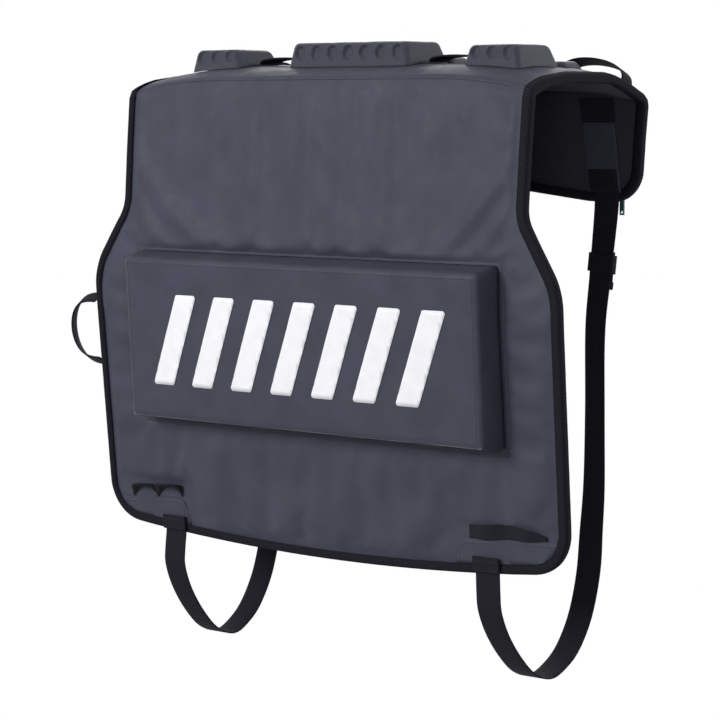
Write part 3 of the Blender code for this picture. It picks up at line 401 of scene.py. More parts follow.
def solid_place(look):
    """The piece's own place in space, in metres."""
    return wire(look, "ShaderNodeTexCoord").outputs["Object"]


def dress(name, look):
    """Give a CAD node that the scene keeps its material."""
    nodes[name].data.materials.clear()
    nodes[name].data.materials.append(look)


def waves(look, source, pitch, direction):
    """Even ribs of a real pitch in metres along one axis of a coordinate."""
    return wire(look, "ShaderNodeTexWave",
                {"Vector": source, "Scale": math.pi / 10 / pitch, "Distortion": 0.0},
                bands_direction=direction, wave_profile="SIN").outputs["Fac"]


def mottle(look, source, size, detail=3.0, roughness=0.55):
    """Cloudy noise of a real size in metres."""
    return wire(look, "ShaderNodeTexNoise", {"Vector": source, "Scale": 1 / size, "Detail": detail,
                                             "Roughness": roughness}).outputs["Fac"]


def work(look, operation, first, second):
    """Arithmetic on two numbers or sockets."""
    return wire(look, "ShaderNodeMath", {0: first, 1: second}, operation=operation).outputs[0]


def spread(look, factor, low, high, start=0.3, end=0.7):
    """Bring a factor to the range from low to high."""
    return wire(look, "ShaderNodeMapRange", {0: factor, 1: start, 2: end, 3: low,
                                             4: high}).outputs[0]


def tint(look, shader, factor, dark, light):
    """Colour that runs from dark to light with a factor."""
    mixed = wire(look, "ShaderNodeMix", {"Factor": factor, 6: (*dark, 1), 7: (*light, 1)},
                 data_type="RGBA")
    look.node_tree.links.new(mixed.outputs[2], shader.inputs["Base Color"])


def emboss(look, shader, height, depth, strength=1.0):
    """Bump with a real depth in metres."""
    bump = wire(look, "ShaderNodeBump", {"Height": height, "Distance": depth, "Strength": strength})
    look.node_tree.links.new(bump.outputs[0], shader.inputs["Normal"])


def shine(look, shader, factor, low, high):
    """Roughness that varies with a factor."""
    look.node_tree.links.new(spread(look, factor, low, high), shader.inputs["Roughness"])


KNIT_DARK, KNIT_LIGHT = (0.022, 0.021, 0.030), (0.040, 0.039, 0.052)
KNIT_PITCH = 0.0024
lining_knit, shader = blank("lining_knit", 0.95, 0.05)
shader.inputs["Sheen Weight"].default_value = 0.15
shader.inputs["Sheen Roughness"].default_value = 0.6
flat_place = cloth_place(lining_knit)
rows = waves(lining_knit, flat_place, KNIT_PITCH, "Y")
wales = waves(lining_knit, flat_place, KNIT_PITCH * 0.7, "X")
fuzz = mottle(lining_knit, flat_place, 0.0016, 4)
tint(lining_knit, shader, spread(lining_knit, fuzz, 0, 1), KNIT_DARK, KNIT_LIGHT)
knit = work(lining_knit, "MULTIPLY", rows, wales)
emboss(lining_knit, shader, work(lining_knit, "ADD", knit, fuzz), 0.0004, 0.7)


def swell(x, s):
    """Slack waves of the lining, which lie flat again at the binding."""
    return LINING_SWELL * cloudy(x, s, SWELL_SIZE, 3.1) * ease(*SWELL_FADE, from_edge(x, s))


PANELS = {"front": (-1.0, -GAP), "top": (GAP, BACK_FOLD_S - GAP), "rear": (BACK_FOLD_S + GAP, 1.0)}
for panel, (s_from, s_to) in PANELS.items():
    flat = cut(INSIDE, LINING_CELL[panel], s_from, s_to)
    wide, long, area = flat_size(flat)
    made = piece(place(flat, lambda x, s: drape(x, s, LINING_THICK - swell(x, s))),
                 f"{panel}_lining_knit", lining_knit, "lining", f"{panel}_lining")
    thicken(made, LINING_THICK)

# Foam sheet
# A closed-cell foam sheet lies between lining and cover. Only its cut cells give it a texture, and
# it is sealed in on all sides by the binding.
FOAM_DARK, FOAM_LIGHT = (0.11, 0.11, 0.12), (0.17, 0.17, 0.18)
foam_look, shader = blank("closed_cell_foam", 0.9, 0.2)
cells = mottle(foam_look, solid_place(foam_look), 0.0011, 2)
tint(foam_look, shader, cells, FOAM_DARK, FOAM_LIGHT)
emboss(foam_look, shader, cells, 0.0003)
for name in ("front_foam", "top_foam", "rear_foam", "box_foam"):
    dress(name, foam_look)

# Outer cover
# The face is a woven polyester with a thin dark coating, in three panels like the lining. The front
# panel has a little spare size, so it buckles into soft folds between the seams and the box.
COVER_LOW, FACE = 0.0060, 0.0070
CLOTH_DARK, CLOTH_LIGHT = (0.046, 0.048, 0.068), (0.060, 0.062, 0.088)
THREAD_PITCH = 0.0022
FRONT_CELL, TOP_CELL, BACKING_CELL = 0.007, 0.005, 0.014
SEWN_EDGE, SEWN_TOP, SEWN_BOX = 0.015, 0.004, 0.009
FRONT_WAVE, FRONT_WAVE_SIZE = 0.0012, 0.05
SLACK_DEPTH, SLACK_SIZE, SLACK_FADE = 0.0009, 0.045, (0.008, 0.025)
SPARE_CLOTH = 0.0155
SETTLE_FRAMES = 32
SETTLE_GAP = 0.001
BOX_DOWN, BOX_WIDTH, BOX_HEIGHT, BOX_DEPTH, BOX_TAPER = 0.206, 0.558, 0.208, 0.038, 0.006
BOX_HALF = BOX_WIDTH / 2
BOX_LOW_S = -BOX_DOWN - BOX_HEIGHT
PATCH_INNER_X = {"left": HEM_HALF - 0.130, "right": HEM_HALF - 0.158}
PATCH_DOWN = {"left": 0.5165, "right": 0.522}
tarpaulin, shader = blank("coated_cloth", 0.5, 0.09)
flat_place = cloth_place(tarpaulin)
warp = waves(tarpaulin, flat_place, THREAD_PITCH, "X")
weft = work(tarpaulin, "MULTIPLY", waves(tarpaulin, flat_place, THREAD_PITCH * 0.7, "Y"), 0.25)
weave = work(tarpaulin, "ADD", warp, weft)
grain = mottle(tarpaulin, flat_place, 0.0035, 2)
tint(tarpaulin, shader, spread(tarpaulin, mottle(tarpaulin, flat_place, 0.06), 0, 1), CLOTH_DARK,
     CLOTH_LIGHT)
shine(tarpaulin, shader, mottle(tarpaulin, flat_place, 0.02), 0.42, 0.56)
emboss(tarpaulin, shader, work(tarpaulin, "ADD", weave, grain), 0.00014, 0.8)


def settle(sheet, sewn, backing, spare, frames):
    """Let a sheet that has spare size hang and buckle over its foam, and keep the shape it takes."""
    group = sheet.vertex_groups.new(name="sewn")
    group.add([i for i, held in enumerate(sewn) if held], 1.0, "REPLACE")
    cloth = sheet.modifiers.new("cloth", "CLOTH")
    cloth.settings.vertex_group_mass = "sewn"
    cloth.settings.quality = 7
    cloth.settings.mass = 0.6
    cloth.settings.tension_stiffness = 60
    cloth.settings.compression_stiffness = 60
    cloth.settings.shear_stiffness = 20
    cloth.settings.bending_stiffness = 24
    cloth.settings.tension_damping = 20
    cloth.settings.air_damping = 6
    cloth.settings.shrink_min = -spare
    cloth.collision_settings.distance_min = SETTLE_GAP
    cloth.point_cache.frame_end = frames
    backing.modifiers.new("collision", "COLLISION")
    backing.collision.thickness_outer = SETTLE_GAP
    for number in range(1, frames + 1):
        bpy.context.scene.frame_set(number)
    shaped = sheet.evaluated_get(bpy.context.evaluated_depsgraph_get()).to_mesh()
    for vert, settled in zip(sheet.data.vertices, shaped.vertices):
        vert.co = settled.co
    sheet.modifiers.remove(cloth)


def in_box(x, s, margin):
    """Whether a point of the flat sheet lies under the raised box."""
    return abs(x) < BOX_HALF + margin and BOX_LOW_S - margin < s < -BOX_DOWN + margin


def held_down(x, s):
    """Whether the front panel is sewn down at a point."""
    label = "left" if x < 0 else "right"
    under_patch = abs(x) > PATCH_INNER_X[label] - 0.006 and s < 0.020 - PATCH_DOWN[label]
    return (from_edge(x, s) < SEWN_EDGE or s > -SEWN_TOP or in_box(x, s, SEWN_BOX) or under_patch)


flat = cut(INSIDE, FRONT_CELL, *PANELS["front"])
sewn = [held_down(v.co.x, v.co.y) for v in flat.verts]
front_cover = piece(place(flat, lambda x, s: drape(x, s, FACE + FRONT_WAVE
                                                   * cloudy(x, s, FRONT_WAVE_SIZE)
                                                   * (not held_down(x, s)))),
                    "front_cover_cloth", tarpaulin, "tarpaulin", "front_cover")
backing_bm = place(cut(INSIDE, BACKING_CELL, *PANELS["front"]),
                   lambda x, s: drape(x, s, COVER_LOW))
backing_mesh = bpy.data.meshes.new("foam_face")
backing_bm.to_mesh(backing_mesh)
backing_bm.free()
backing = bpy.data.objects.new("foam_face", backing_mesh)
bpy.context.scene.collection.objects.link(backing)
settle(front_cover, sewn, backing, SPARE_CLOTH, SETTLE_FRAMES)
bpy.data.objects.remove(backing)
round_off = front_cover.modifiers.new("round", "SUBSURF")
round_off.levels = round_off.render_levels = 1


def slack(x, s):
    """Shallow dips of the top and rear panels between their seams."""
    return SLACK_DEPTH * cloudy(x, s, SLACK_SIZE, 7.7) * ease(*SLACK_FADE, from_edge(x, s))


for panel in ("top", "rear"):
    made = piece(place(cut(INSIDE, TOP_CELL, *PANELS[panel]),
                       lambda x, s: drape(x, s, FACE - slack(x, s))),
                 f"{panel}_cover_cloth", tarpaulin, "tarpaulin", f"{panel}_cover")
    thicken(made, FACE - COVER_LOW)

# Edge binding
# A ribbed grosgrain tape is folded over the raw edge of all the layers and sewn through with a lock
# stitch; its thread shows as a row of short bars on both faces.
BINDING_WIDTH, BINDING_THICK, BINDING_GAP = 0.0105, 0.0010, 0.0004
BINDING_ROUND = 0.0026
BINDING_STEP = 0.0045
BINDING_PINCH, PINCH_SIZE = 0.00025, 0.012
TAPE_CUT_WIDTH = 0.030
TAPE_IN, TAPE_OUT = -BINDING_GAP, FACE + BINDING_GAP
TAPE_DARK, TAPE_LIGHT = (0.010, 0.010, 0.014), (0.020, 0.020, 0.028)
TAPE_RIB = 0.0017
THREAD_COLOUR_DARK, THREAD_COLOUR_LIGHT = (0.018, 0.018, 0.022), (0.034, 0.034, 0.040)
STITCH_PITCH, STITCH_LENGTH, STITCH_THICK = 0.0042, 0.0031, 0.00065
SEAM_IN = 0.0082
binding_tape, shader = blank("binding_tape", 0.85, 0.06)
flat_place = cloth_place(binding_tape)
ribs = waves(binding_tape, flat_place, TAPE_RIB, "X")
lint = mottle(binding_tape, flat_place, 0.0012, 3)
tint(binding_tape, shader, spread(binding_tape, work(binding_tape, "MULTIPLY", ribs, lint), 0, 1,
                                  0.1, 0.5), TAPE_DARK, TAPE_LIGHT)
emboss(binding_tape, shader, ribs, 0.0005, 0.9)
thread, shader = blank("sewing_thread", 0.7, 0.2)
tint(thread, shader, mottle(thread, solid_place(thread), 0.0012), THREAD_COLOUR_DARK,
     THREAD_COLOUR_LIGHT)


def walk(outline, spacing):
    """Evenly spaced points along a closed outline."""
    sides = [(b - a).length for a, b in zip(outline, outline[1:] + outline[:1])]
    count = round(sum(sides) / spacing)
    step = sum(sides) / count
    points, i, passed = [], 0, 0.0
    for number in range(count):
        while number * step > passed + sides[i]:
            passed += sides[i]
            i += 1
        share = (number * step - passed) / sides[i]
        points.append(outline[i].lerp(outline[(i + 1) % len(outline)], share))
    return points


def woven(columns, rows, where, length, width, closed=False):
    """Cloth of columns by rows cells; where(i, j) places a point and its flat place is its UV."""
    bm = bmesh.new()
    bmesh.ops.create_grid(bm, x_segments=columns, y_segments=rows, size=0.5)
    unfold(bm, lambda face, spot: ((spot.x + 0.5) * length, (spot.y + 0.5) * width))
    for vert in bm.verts:
        vert.co = where(round((vert.co.x + 0.5) * columns), round((vert.co.y + 0.5) * rows))
    if closed:
        bmesh.ops.remove_doubles(bm, verts=bm.verts, dist=1e-6)
    bm.normal_update()
    return bm


def stitch(bm, start, end, out):
    """One stitch: a small rounded bar of thread that lies on the cloth between two holes."""
    along = end - start
    side = out.cross(along).normalized() * STITCH_THICK / 2
    size = along.normalized() * STITCH_LENGTH / 2
    frame_of = Matrix((size, side, out * STITCH_THICK / 2)).transposed().to_4x4()
    frame_of.translation = (start + end) / 2 + out * STITCH_THICK * 0.2
    bmesh.ops.create_icosphere(bm, subdivisions=1, radius=1, matrix=frame_of)


def seam(name, slot_name, rows_of_points):
    """Stitches between the points of each row, given as (place, outward direction)."""
    bm = bmesh.new()
    for row in rows_of_points:
        for (start, out), (end, _) in zip(row, row[1:]):
            stitch(bm, start, end, out)
    return piece(bm, name, thread, slot_name, smooth=80)


def seam_line(points, height):
    """Row for a seam along flat points, at a height above the lining's inner face."""
    side = 1 if height > 0 else -1
    return [(drape(p.x, p.y, height), side * out_of(p.x, p.y)) for p in points]


def stretch(start, end):
    """Flat points from start to end, a stitch apart."""
    start, end = Vector(start), Vector(end)
    count = max(1, round((end - start).length / STITCH_PITCH))
    return [start.lerp(end, i / count) for i in range(count + 1)]


section = rounded([(BINDING_WIDTH, TAPE_OUT + BINDING_THICK), (0, TAPE_OUT + BINDING_THICK, BINDING_ROUND),
                   (0, TAPE_IN - BINDING_THICK, BINDING_ROUND), (BINDING_WIDTH, TAPE_IN - BINDING_THICK)],
                  arc=math.radians(22))
edge = walk(OUTLINE, BINDING_STEP)
edge_length = BINDING_STEP * len(edge)
rims = [shrink(edge, depth) if depth > 1e-6 else edge for depth, _ in section]


def on_binding(i, j):
    i %= len(edge)
    spot = rims[j][i]
    pinch = BINDING_PINCH * noise.noise(Vector((i * BINDING_STEP / PINCH_SIZE, j * 0.3, 5.0)))
    return drape(spot.x, spot.y, section[j].y + pinch)


binding = piece(woven(len(edge), len(section) - 1, on_binding, edge_length, TAPE_CUT_WIDTH,
                      closed=True),
                "binding_tape", binding_tape, "binding", "edge_binding", smooth=60)
thicken(binding, BINDING_THICK * 0.9)
sewn_line = walk(shrink(OUTLINE, SEAM_IN), STITCH_PITCH)
seam("binding_stitches", "binding",
     [seam_line(sewn_line + sewn_line[:1], TAPE_OUT + BINDING_THICK),
      seam_line(sewn_line + sewn_line[:1], TAPE_IN - BINDING_THICK)])

# Raised box
# A slab of firm foam in the front panel: its face and the gusset round it are the coated cloth, sewn
# together along the rim, and a narrow flange of the gusset is sewn flat to the panel.
BOX_GAP = 0.0005
BOX_RIM = 0.0050
BOX_CELL = 0.0075
RIM_SEAM_IN = 0.0055
FLANGE_WIDTH, FLANGE_THICK, FLANGE_CELL, FLANGE_UNDER = 0.0075, 0.0009, 0.006, 0.002
BOX_COVER_THICK = 0.0008
BOX_CROWN, BOX_PUCKER, PUCKER_SIZE = 0.0016, 0.0010, 0.055
END_BULGE, END_WAVE, END_WAVE_SIZE = 0.0016, 0.0016, 0.020
BRIM_BULGE, BRIM_WAVE, BRIM_WAVE_SIZE = 0.0014, 0.0016, 0.030
BOX_HIGH_END = drape(0, -BOX_DOWN, FACE)
BOX_LOW_END = drape(0, BOX_LOW_S, FACE)
BOX_NORMAL = Vector((1, 0, 0)).cross(BOX_HIGH_END - BOX_LOW_END).normalized()


def box_point(x, v, share):
    """Point of the box: x across and v up its base, share from its back (0) to its face (1)."""
    s = BOX_LOW_S + v * BOX_HEIGHT
    back = drape(x, s, FACE + BOX_GAP)
    front = BOX_LOW_END.lerp(BOX_HIGH_END, v) + BOX_NORMAL * BOX_DEPTH
    front.x = x
    return back.lerp(front, share)


def box_face_rise(x, v):
    """How far the filled box stands out at a point of its face."""
    across = 1 - (x / BOX_HALF) ** 2
    up = 1 - (2 * v - 1) ** 2
    rise = BOX_CROWN * max(0.0, across * up) ** 0.5
    return rise + BOX_PUCKER * (cloudy(x, v * BOX_HEIGHT, PUCKER_SIZE, 2.2) - 0.5)


def box_cloth(face, spot):
    """Flat place of a point of the box's cover, seen square to the side that it's on."""
    lie = max(range(3), key=lambda axis: abs(face.normal[axis]))
    first, second = ((1, 2), (0, 2), (0, 1))[lie]
    return spot[first], spot[second]


def round_edges(bm, edges, radius, segments):
    bmesh.ops.bevel(bm, geom=edges, offset=radius, offset_type="OFFSET", segments=segments,
                    profile=0.5, affect="EDGES", clamp_overlap=True, material=-1)


bm = bmesh.new()
bmesh.ops.create_cube(bm, size=1, matrix=Matrix.Diagonal((BOX_WIDTH, BOX_HEIGHT, BOX_DEPTH, 1)))
back_face = min(bm.faces, key=lambda f: f.calc_center_median().z)
bmesh.ops.delete(bm, geom=[back_face], context="FACES_ONLY")
rim = [e for e in bm.edges if not e.is_boundary]
round_edges(bm, rim, BOX_RIM, 4)
for axis, size in enumerate((BOX_WIDTH, BOX_HEIGHT, BOX_DEPTH)):
    score(bm, axis, -size / 2, size, BOX_CELL)
unfold(bm, box_cloth)
for vert in bm.verts:
    x, up, out = vert.co
    share = out / BOX_DEPTH + 0.5
    narrow = BOX_TAPER * share
    v = up / BOX_HEIGHT + 0.5
    v = (narrow + v * (BOX_HEIGHT - 2 * narrow)) / BOX_HEIGHT
    x *= (BOX_HALF - narrow) / BOX_HALF
    spot = box_point(x, v, share)
    spot += BOX_NORMAL * box_face_rise(x, v) * ease(0.75, 1.0, share)
    wall = ease(0.985, 1.0, abs(vert.co.x) / BOX_HALF)
    bulge = END_BULGE * math.sin(math.pi * share)
    bulge += END_WAVE * (cloudy(up, out * 0.4, END_WAVE_SIZE, 4.4) - 0.5)
    spot.x += math.copysign(bulge * wall, x)
    brim = ease(0.97, 1.0, abs(up) * 2 / BOX_HEIGHT)
    rise = BRIM_BULGE * math.sin(math.pi * share)
    rise += BRIM_WAVE * (cloudy(x, out * 0.4, BRIM_WAVE_SIZE, 6.4) - 0.5)
    spot.z += math.copysign(rise * brim, up)
    vert.co = spot
bmesh.ops.recalc_face_normals(bm, faces=bm.faces)
if sum((f.normal * f.calc_area() for f in bm.faces), Vector()).dot(BOX_NORMAL) < 0:
    bmesh.ops.reverse_faces(bm, faces=bm.faces)
box_cover = piece(bm, "box_cover", tarpaulin, "tarpaulin", "box_face", "box_gusset", smooth=60)
thicken(box_cover, BOX_COVER_THICK)


def around(half_x, s_low, s_high):
    """Corners of a rectangle about the box, anticlockwise."""
    return [Vector((-half_x, s_low)), Vector((half_x, s_low)), Vector((half_x, s_high)),
            Vector((-half_x, s_high))]


bm = cut(around(BOX_HALF + FLANGE_WIDTH, BOX_LOW_S - FLANGE_WIDTH, -BOX_DOWN + FLANGE_WIDTH),
         FLANGE_CELL)
covered = [f for f in bm.faces if in_box(*f.calc_center_median().xy, -FLANGE_UNDER)]
bmesh.ops.delete(bm, geom=covered, context="FACES")
flange = piece(place(bm, lambda x, s: drape(x, s, FACE + GAP + FLANGE_THICK)), "box_flange",
               tarpaulin, "tarpaulin")
thicken(flange, FLANGE_THICK)
flange_in = FLANGE_WIDTH * 0.45
flange_loop = walk(around(BOX_HALF + flange_in, BOX_LOW_S - flange_in, -BOX_DOWN + flange_in),
                   STITCH_PITCH)
rim_loop = walk(around(BOX_HALF - BOX_TAPER - RIM_SEAM_IN, BOX_TAPER + RIM_SEAM_IN,
                       BOX_HEIGHT - BOX_TAPER - RIM_SEAM_IN), STITCH_PITCH)
rim_row = []
for point in rim_loop + rim_loop[:1]:
    v = point.y / BOX_HEIGHT
    rim_row.append((box_point(point.x, v, 1) + BOX_NORMAL * box_face_rise(point.x, v), BOX_NORMAL))
seam("box_stitches", "tarpaulin",
     [seam_line(flange_loop + flange_loop[:1], FACE + GAP + FLANGE_THICK), rim_row])

# Printed bars
# Seven slanted bars of white transfer film are pressed onto the box's face. The film is thin enough
# to show the weave below it.
BAR_COUNT, BAR_WIDTH, BAR_PITCH, BAR_HEIGHT, BAR_SLANT = 7, 0.034, 0.064, 0.112, 0.045
BAR_THICK = 0.0003
BAR_CORNER = 0.0035
FILM_DARK, FILM_LIGHT = (0.82, 0.82, 0.86), (0.88, 0.88, 0.92)
film, shader = blank("transfer_film", 0.5, 0.15)
flat_place = cloth_place(film)
tint(film, shader, spread(film, mottle(film, flat_place, 0.02), 0, 1), FILM_DARK, FILM_LIGHT)
under = work(film, "ADD", waves(film, flat_place, THREAD_PITCH, "X"),
             waves(film, flat_place, THREAD_PITCH, "Y"))
emboss(film, shader, under, 0.00010, 0.5)
bars = bmesh.new()
for index in range(BAR_COUNT):
    x = (index - (BAR_COUNT - 1) / 2) * BAR_PITCH
    corners = [Vector((x + a * BAR_WIDTH / 2 + b * BAR_SLANT / 2, b * BAR_HEIGHT / 2))
               for a, b in ((-1, -1), (1, -1), (1, 1), (-1, 1))]
    start = (corners[0] + corners[1]) / 2
    shape = rounded([start] + [(*c, BAR_CORNER) for c in corners[1:] + corners[:1]] + [start],
                    arc=math.radians(20))[:-1]
    bar = cut(shape, 0.006)
    bar_mesh = bpy.data.meshes.new("bar")
    bar.to_mesh(bar_mesh)
    bar.free()
    bars.from_mesh(bar_mesh)
    bpy.data.meshes.remove(bar_mesh)


def on_box_face(x, up):
    v = 0.5 + up / BOX_HEIGHT
    return box_point(x, v, 1) + BOX_NORMAL * (box_face_rise(x, v) + 2 * GAP + BAR_THICK)


film_bars = piece(place(bars, on_box_face), "print_bars", film, "print",
                  *[f"print_bar_{i + 1}" for i in range(BAR_COUNT)])
thicken(film_bars, BAR_THICK)

# Frame blocks
# Blocks of foam moulded hot under a ribbed knit stand on the top, in a front and a back row, and
# hold two bike frames between them. The front row has upright round-ended slots with raised lips.
CENTRE_BLOCK_WIDTH, SIDE_BLOCK_WIDTH, CRADLE_WIDTH = 0.187, 0.080, 0.0815
FRONT_BLOCK_Y, FRONT_BLOCK_DEPTH = -0.062, 0.078
BACK_BLOCK_Y, BACK_BLOCK_DEPTH = 0.024, 0.046
CENTRE_BLOCK_TOP, SIDE_BLOCK_TOP = 0.0330, 0.0268
BACK_CENTRE_TOP, BACK_SIDE_TOP = 0.0155, 0.0085
BLOCK_LEAN_FRONT, BLOCK_LEAN_BACK, BLOCK_LEAN_SIDE, BLOCK_ROUND = 0.004, 0.011, 0.0055, 0.0060
SLOT_PITCH, SLOT_RADIUS, SLOT_DEPTH, SLOT_LIFT, SLOT_TOP = 0.0264, 0.0068, 0.0034, 0.0065, 0.0035
LIP_RISE, LIP_WIDTH = 0.0011, 0.0014
BLOCK_FINE, BLOCK_COARSE = 0.0015, 0.0045
BLOCK_FOOT, BLOCK_SWELL, BLOCK_SWELL_SIZE = 0.006, 0.0006, 0.03
MOULD_DARK, MOULD_LIGHT = (0.034, 0.036, 0.050), (0.070, 0.073, 0.100)
HERRINGBONE, TWILL = 0.0046, 0.0019
moulded, shader = blank("moulded_knit", 0.45, 0.14)
flat_place = cloth_place(moulded)
split = wire(moulded, "ShaderNodeSeparateXYZ", {0: flat_place})
zigzag = work(moulded, "ABSOLUTE", work(moulded, "SUBTRACT", work(
    moulded, "FRACT", work(moulded, "DIVIDE", split.outputs[0], HERRINGBONE), 0.0), 0.5), 0.0)
slanted = work(moulded, "ADD", split.outputs[1], work(moulded, "MULTIPLY", zigzag, HERRINGBONE))
twill = work(moulded, "SINE", work(moulded, "MULTIPLY", slanted, 2 * math.pi / TWILL), 0.0)
pores = mottle(moulded, flat_place, 0.0012, 2)
tint(moulded, shader, spread(moulded, work(moulded, "ADD", twill, pores), 0, 1, -0.4, 1.4),
     MOULD_DARK, MOULD_LIGHT)
emboss(moulded, shader, twill, 0.00022, 0.8)
shine(moulded, shader, pores, 0.30, 0.46)


def slot_form(across, up, top):
    """How far the front wall is pressed in (or its lip raised) at a point beside one slot."""
    low, high = SLOT_LIFT + SLOT_RADIUS, top - SLOT_TOP - SLOT_RADIUS
    away = Vector((across, up - min(max(up, low), max(low, high)))).length - SLOT_RADIUS
    lip = LIP_RISE * math.exp(-((away - LIP_WIDTH) / LIP_WIDTH) ** 2) * ease(0.2, 0.7, up / top)
    return SLOT_DEPTH * ease(0.0012, -0.0030, away) - lip


def moulded_block(name, x, width, y_from, depth, top, slots, *replaced):
    """Block whose foot follows the top cover, with leaning sides, a flat top and pressed slots."""
    tall = top - BLOCK_FOOT
    y_low = drape(x, s_at(y_from), FACE + GAP).y
    y_high = drape(x, s_at(y_from + depth), FACE + GAP).y
    deep = y_high - y_low
    bm = bmesh.new()
    bmesh.ops.create_cube(bm, size=1, matrix=Matrix.Translation((0, deep / 2, tall / 2))
                          @ Matrix.Diagonal((width, deep, tall, 1)))
    half = width / 2
    for vert in bm.verts:
        if vert.co.z > tall / 2:
            vert.co.x *= (half - BLOCK_LEAN_SIDE) / half
            share = vert.co.y / deep
            vert.co.y = BLOCK_LEAN_FRONT + share * (deep - BLOCK_LEAN_FRONT - BLOCK_LEAN_BACK)
    sides = [e for e in bm.edges if max(v.co.z for v in e.verts) > tall / 2]
    round_edges(bm, sides, BLOCK_ROUND, 5)
    bmesh.ops.recalc_face_normals(bm, faces=bm.faces)
    cell = BLOCK_FINE if slots else BLOCK_COARSE / 2
    score(bm, 0, -half, width, cell)
    score(bm, 1, 0, deep, BLOCK_COARSE)
    score(bm, 2, 0, tall, cell)
    bmesh.ops.remove_doubles(bm, verts=bm.verts, dist=2e-4)
    unfold(bm, lambda face, spot: spot.xy if abs(face.normal.z) > 0.8 else (spot.x + spot.y, spot.z))
    bm.normal_update()
    front = {v: v.normal.y for v in bm.verts}
    for vert in bm.verts:
        px, py, pz = vert.co
        share = pz / tall
        foot = drape(x + px, s_at(y_low + py), FACE + GAP).z
        up = foot * (1 - share) + top * share
        press = 0.0
        if slots and front[vert] < -0.55 and pz < tall - 0.001:
            pitch = (width - 2 * BLOCK_LEAN_SIDE) / slots
            index = min(slots - 1, max(0, math.floor(px / pitch + slots / 2)))
            press = slot_form(px - (index + 0.5 - slots / 2) * pitch, pz, tall)
        swollen = BLOCK_SWELL * (cloudy(x + px, py, BLOCK_SWELL_SIZE, 9.0) - 0.5) * share
        vert.co = Vector((x + px, y_low + py + press, up + swollen))
    return piece(bm, name, moulded, "moulded_foam", *replaced, smooth=50)


SIDE_X = CENTRE_BLOCK_WIDTH / 2 + CRADLE_WIDTH + SIDE_BLOCK_WIDTH / 2
for side, x, width, front_top, back_top in (
        ("left", -SIDE_X, SIDE_BLOCK_WIDTH, SIDE_BLOCK_TOP, BACK_SIDE_TOP),
        ("centre", 0.0, CENTRE_BLOCK_WIDTH, CENTRE_BLOCK_TOP, BACK_CENTRE_TOP),
        ("right", SIDE_X, SIDE_BLOCK_WIDTH, SIDE_BLOCK_TOP, BACK_SIDE_TOP)):
    moulded_block(f"frame_block_{side}_knit", x, width, FRONT_BLOCK_Y, FRONT_BLOCK_DEPTH, front_top,
                  round(width / SLOT_PITCH), f"frame_block_{side}")
    moulded_block(f"rear_block_{side}_knit", x, width, BACK_BLOCK_Y, BACK_BLOCK_DEPTH, back_top, 0,
                  f"rear_block_{side}")

# Bike straps
# A band of webbing stands over each gap between the front blocks, sewn down at both its ends. The
# bike's down tube is tied to it.
BIKE_STRAP_WIDTH, BIKE_STRAP_THICK = 0.038, 0.0022
BIKE_STRAP_RISE, BIKE_STRAP_SPAN, BIKE_STRAP_Y = 0.0075, 0.070, -0.010
ARCH_FOOT, ARCH_FULLNESS = 0.002, 0.75
WEB_DARK, WEB_LIGHT = (0.0110, 0.0105, 0.0150), (0.0200, 0.0190, 0.0270)
WEB_PICK, WEB_CORD, WEB_ROWS = 0.0013, 0.0030, 4
webbing, shader = blank("webbing", 0.70, 0.05)
flat_place = cloth_place(webbing)
picks = waves(webbing, flat_place, WEB_PICK, "X")
cords = waves(webbing, flat_place, WEB_CORD, "Y")
lint = mottle(webbing, flat_place, 0.0012, 3)
tint(webbing, shader, spread(webbing, work(webbing, "MULTIPLY", picks, lint), 0, 1, 0.1, 0.5),
     WEB_DARK, WEB_LIGHT)
emboss(webbing, shader, work(webbing, "ADD", picks, work(webbing, "MULTIPLY", cords, 0.25)), 0.0002,
       0.7)
shine(webbing, shader, lint, 0.60, 0.80)


def band(name, route, across, width, thickness, slot_name, *replaced):
    """Woven band whose middle line is route and which lies along across."""
    length = sum((b - a).length for a, b in zip(route, route[1:]))

    def where(i, j):
        return route[i] + across[i] * width * (j / WEB_ROWS - 0.5)

    bm = woven(len(route) - 1, WEB_ROWS, where, length, width)
    made = piece(bm, name, webbing, slot_name, *replaced, smooth=60)
    thicken(made, thickness, offset=0)
    soften(made, min(0.0005, thickness * 0.3))
    return made, length


def arch_route(x_from, x_to, s, rise, steps, lift):
    """Route of a band that stands over the top cover, sewn down at both ends."""
    start, end = drape(x_from, s, FACE + GAP + lift), drape(x_to, s, FACE + GAP + lift)
    out = out_of(x_from, s)
    wide = out.cross(Vector((1, 0, 0)))
    route = [start]
    for step in range(steps + 1):
        angle = math.pi * step / steps
        bow = max(0.0, math.sin(angle)) ** ARCH_FULLNESS
        height = ARCH_FOOT + (rise - ARCH_FOOT) * bow
        route.append(start.lerp(end, (1 - math.cos(angle)) / 2) + out * height)
    return route + [end], [wide] * (steps + 3)


CRADLE_X = (CENTRE_BLOCK_WIDTH + CRADLE_WIDTH) / 2
for side, label in ((-1, "left"), (1, "right")):
    middle = side * CRADLE_X
    route, across = arch_route(middle - BIKE_STRAP_SPAN / 2, middle + BIKE_STRAP_SPAN / 2,
                               s_at(BIKE_STRAP_Y), BIKE_STRAP_RISE, 16, BIKE_STRAP_THICK / 2)
    tie, length = band(f"bike_strap_{label}_webbing", route, across, BIKE_STRAP_WIDTH,
                       BIKE_STRAP_THICK, "webbing", f"bike_strap_{label}")

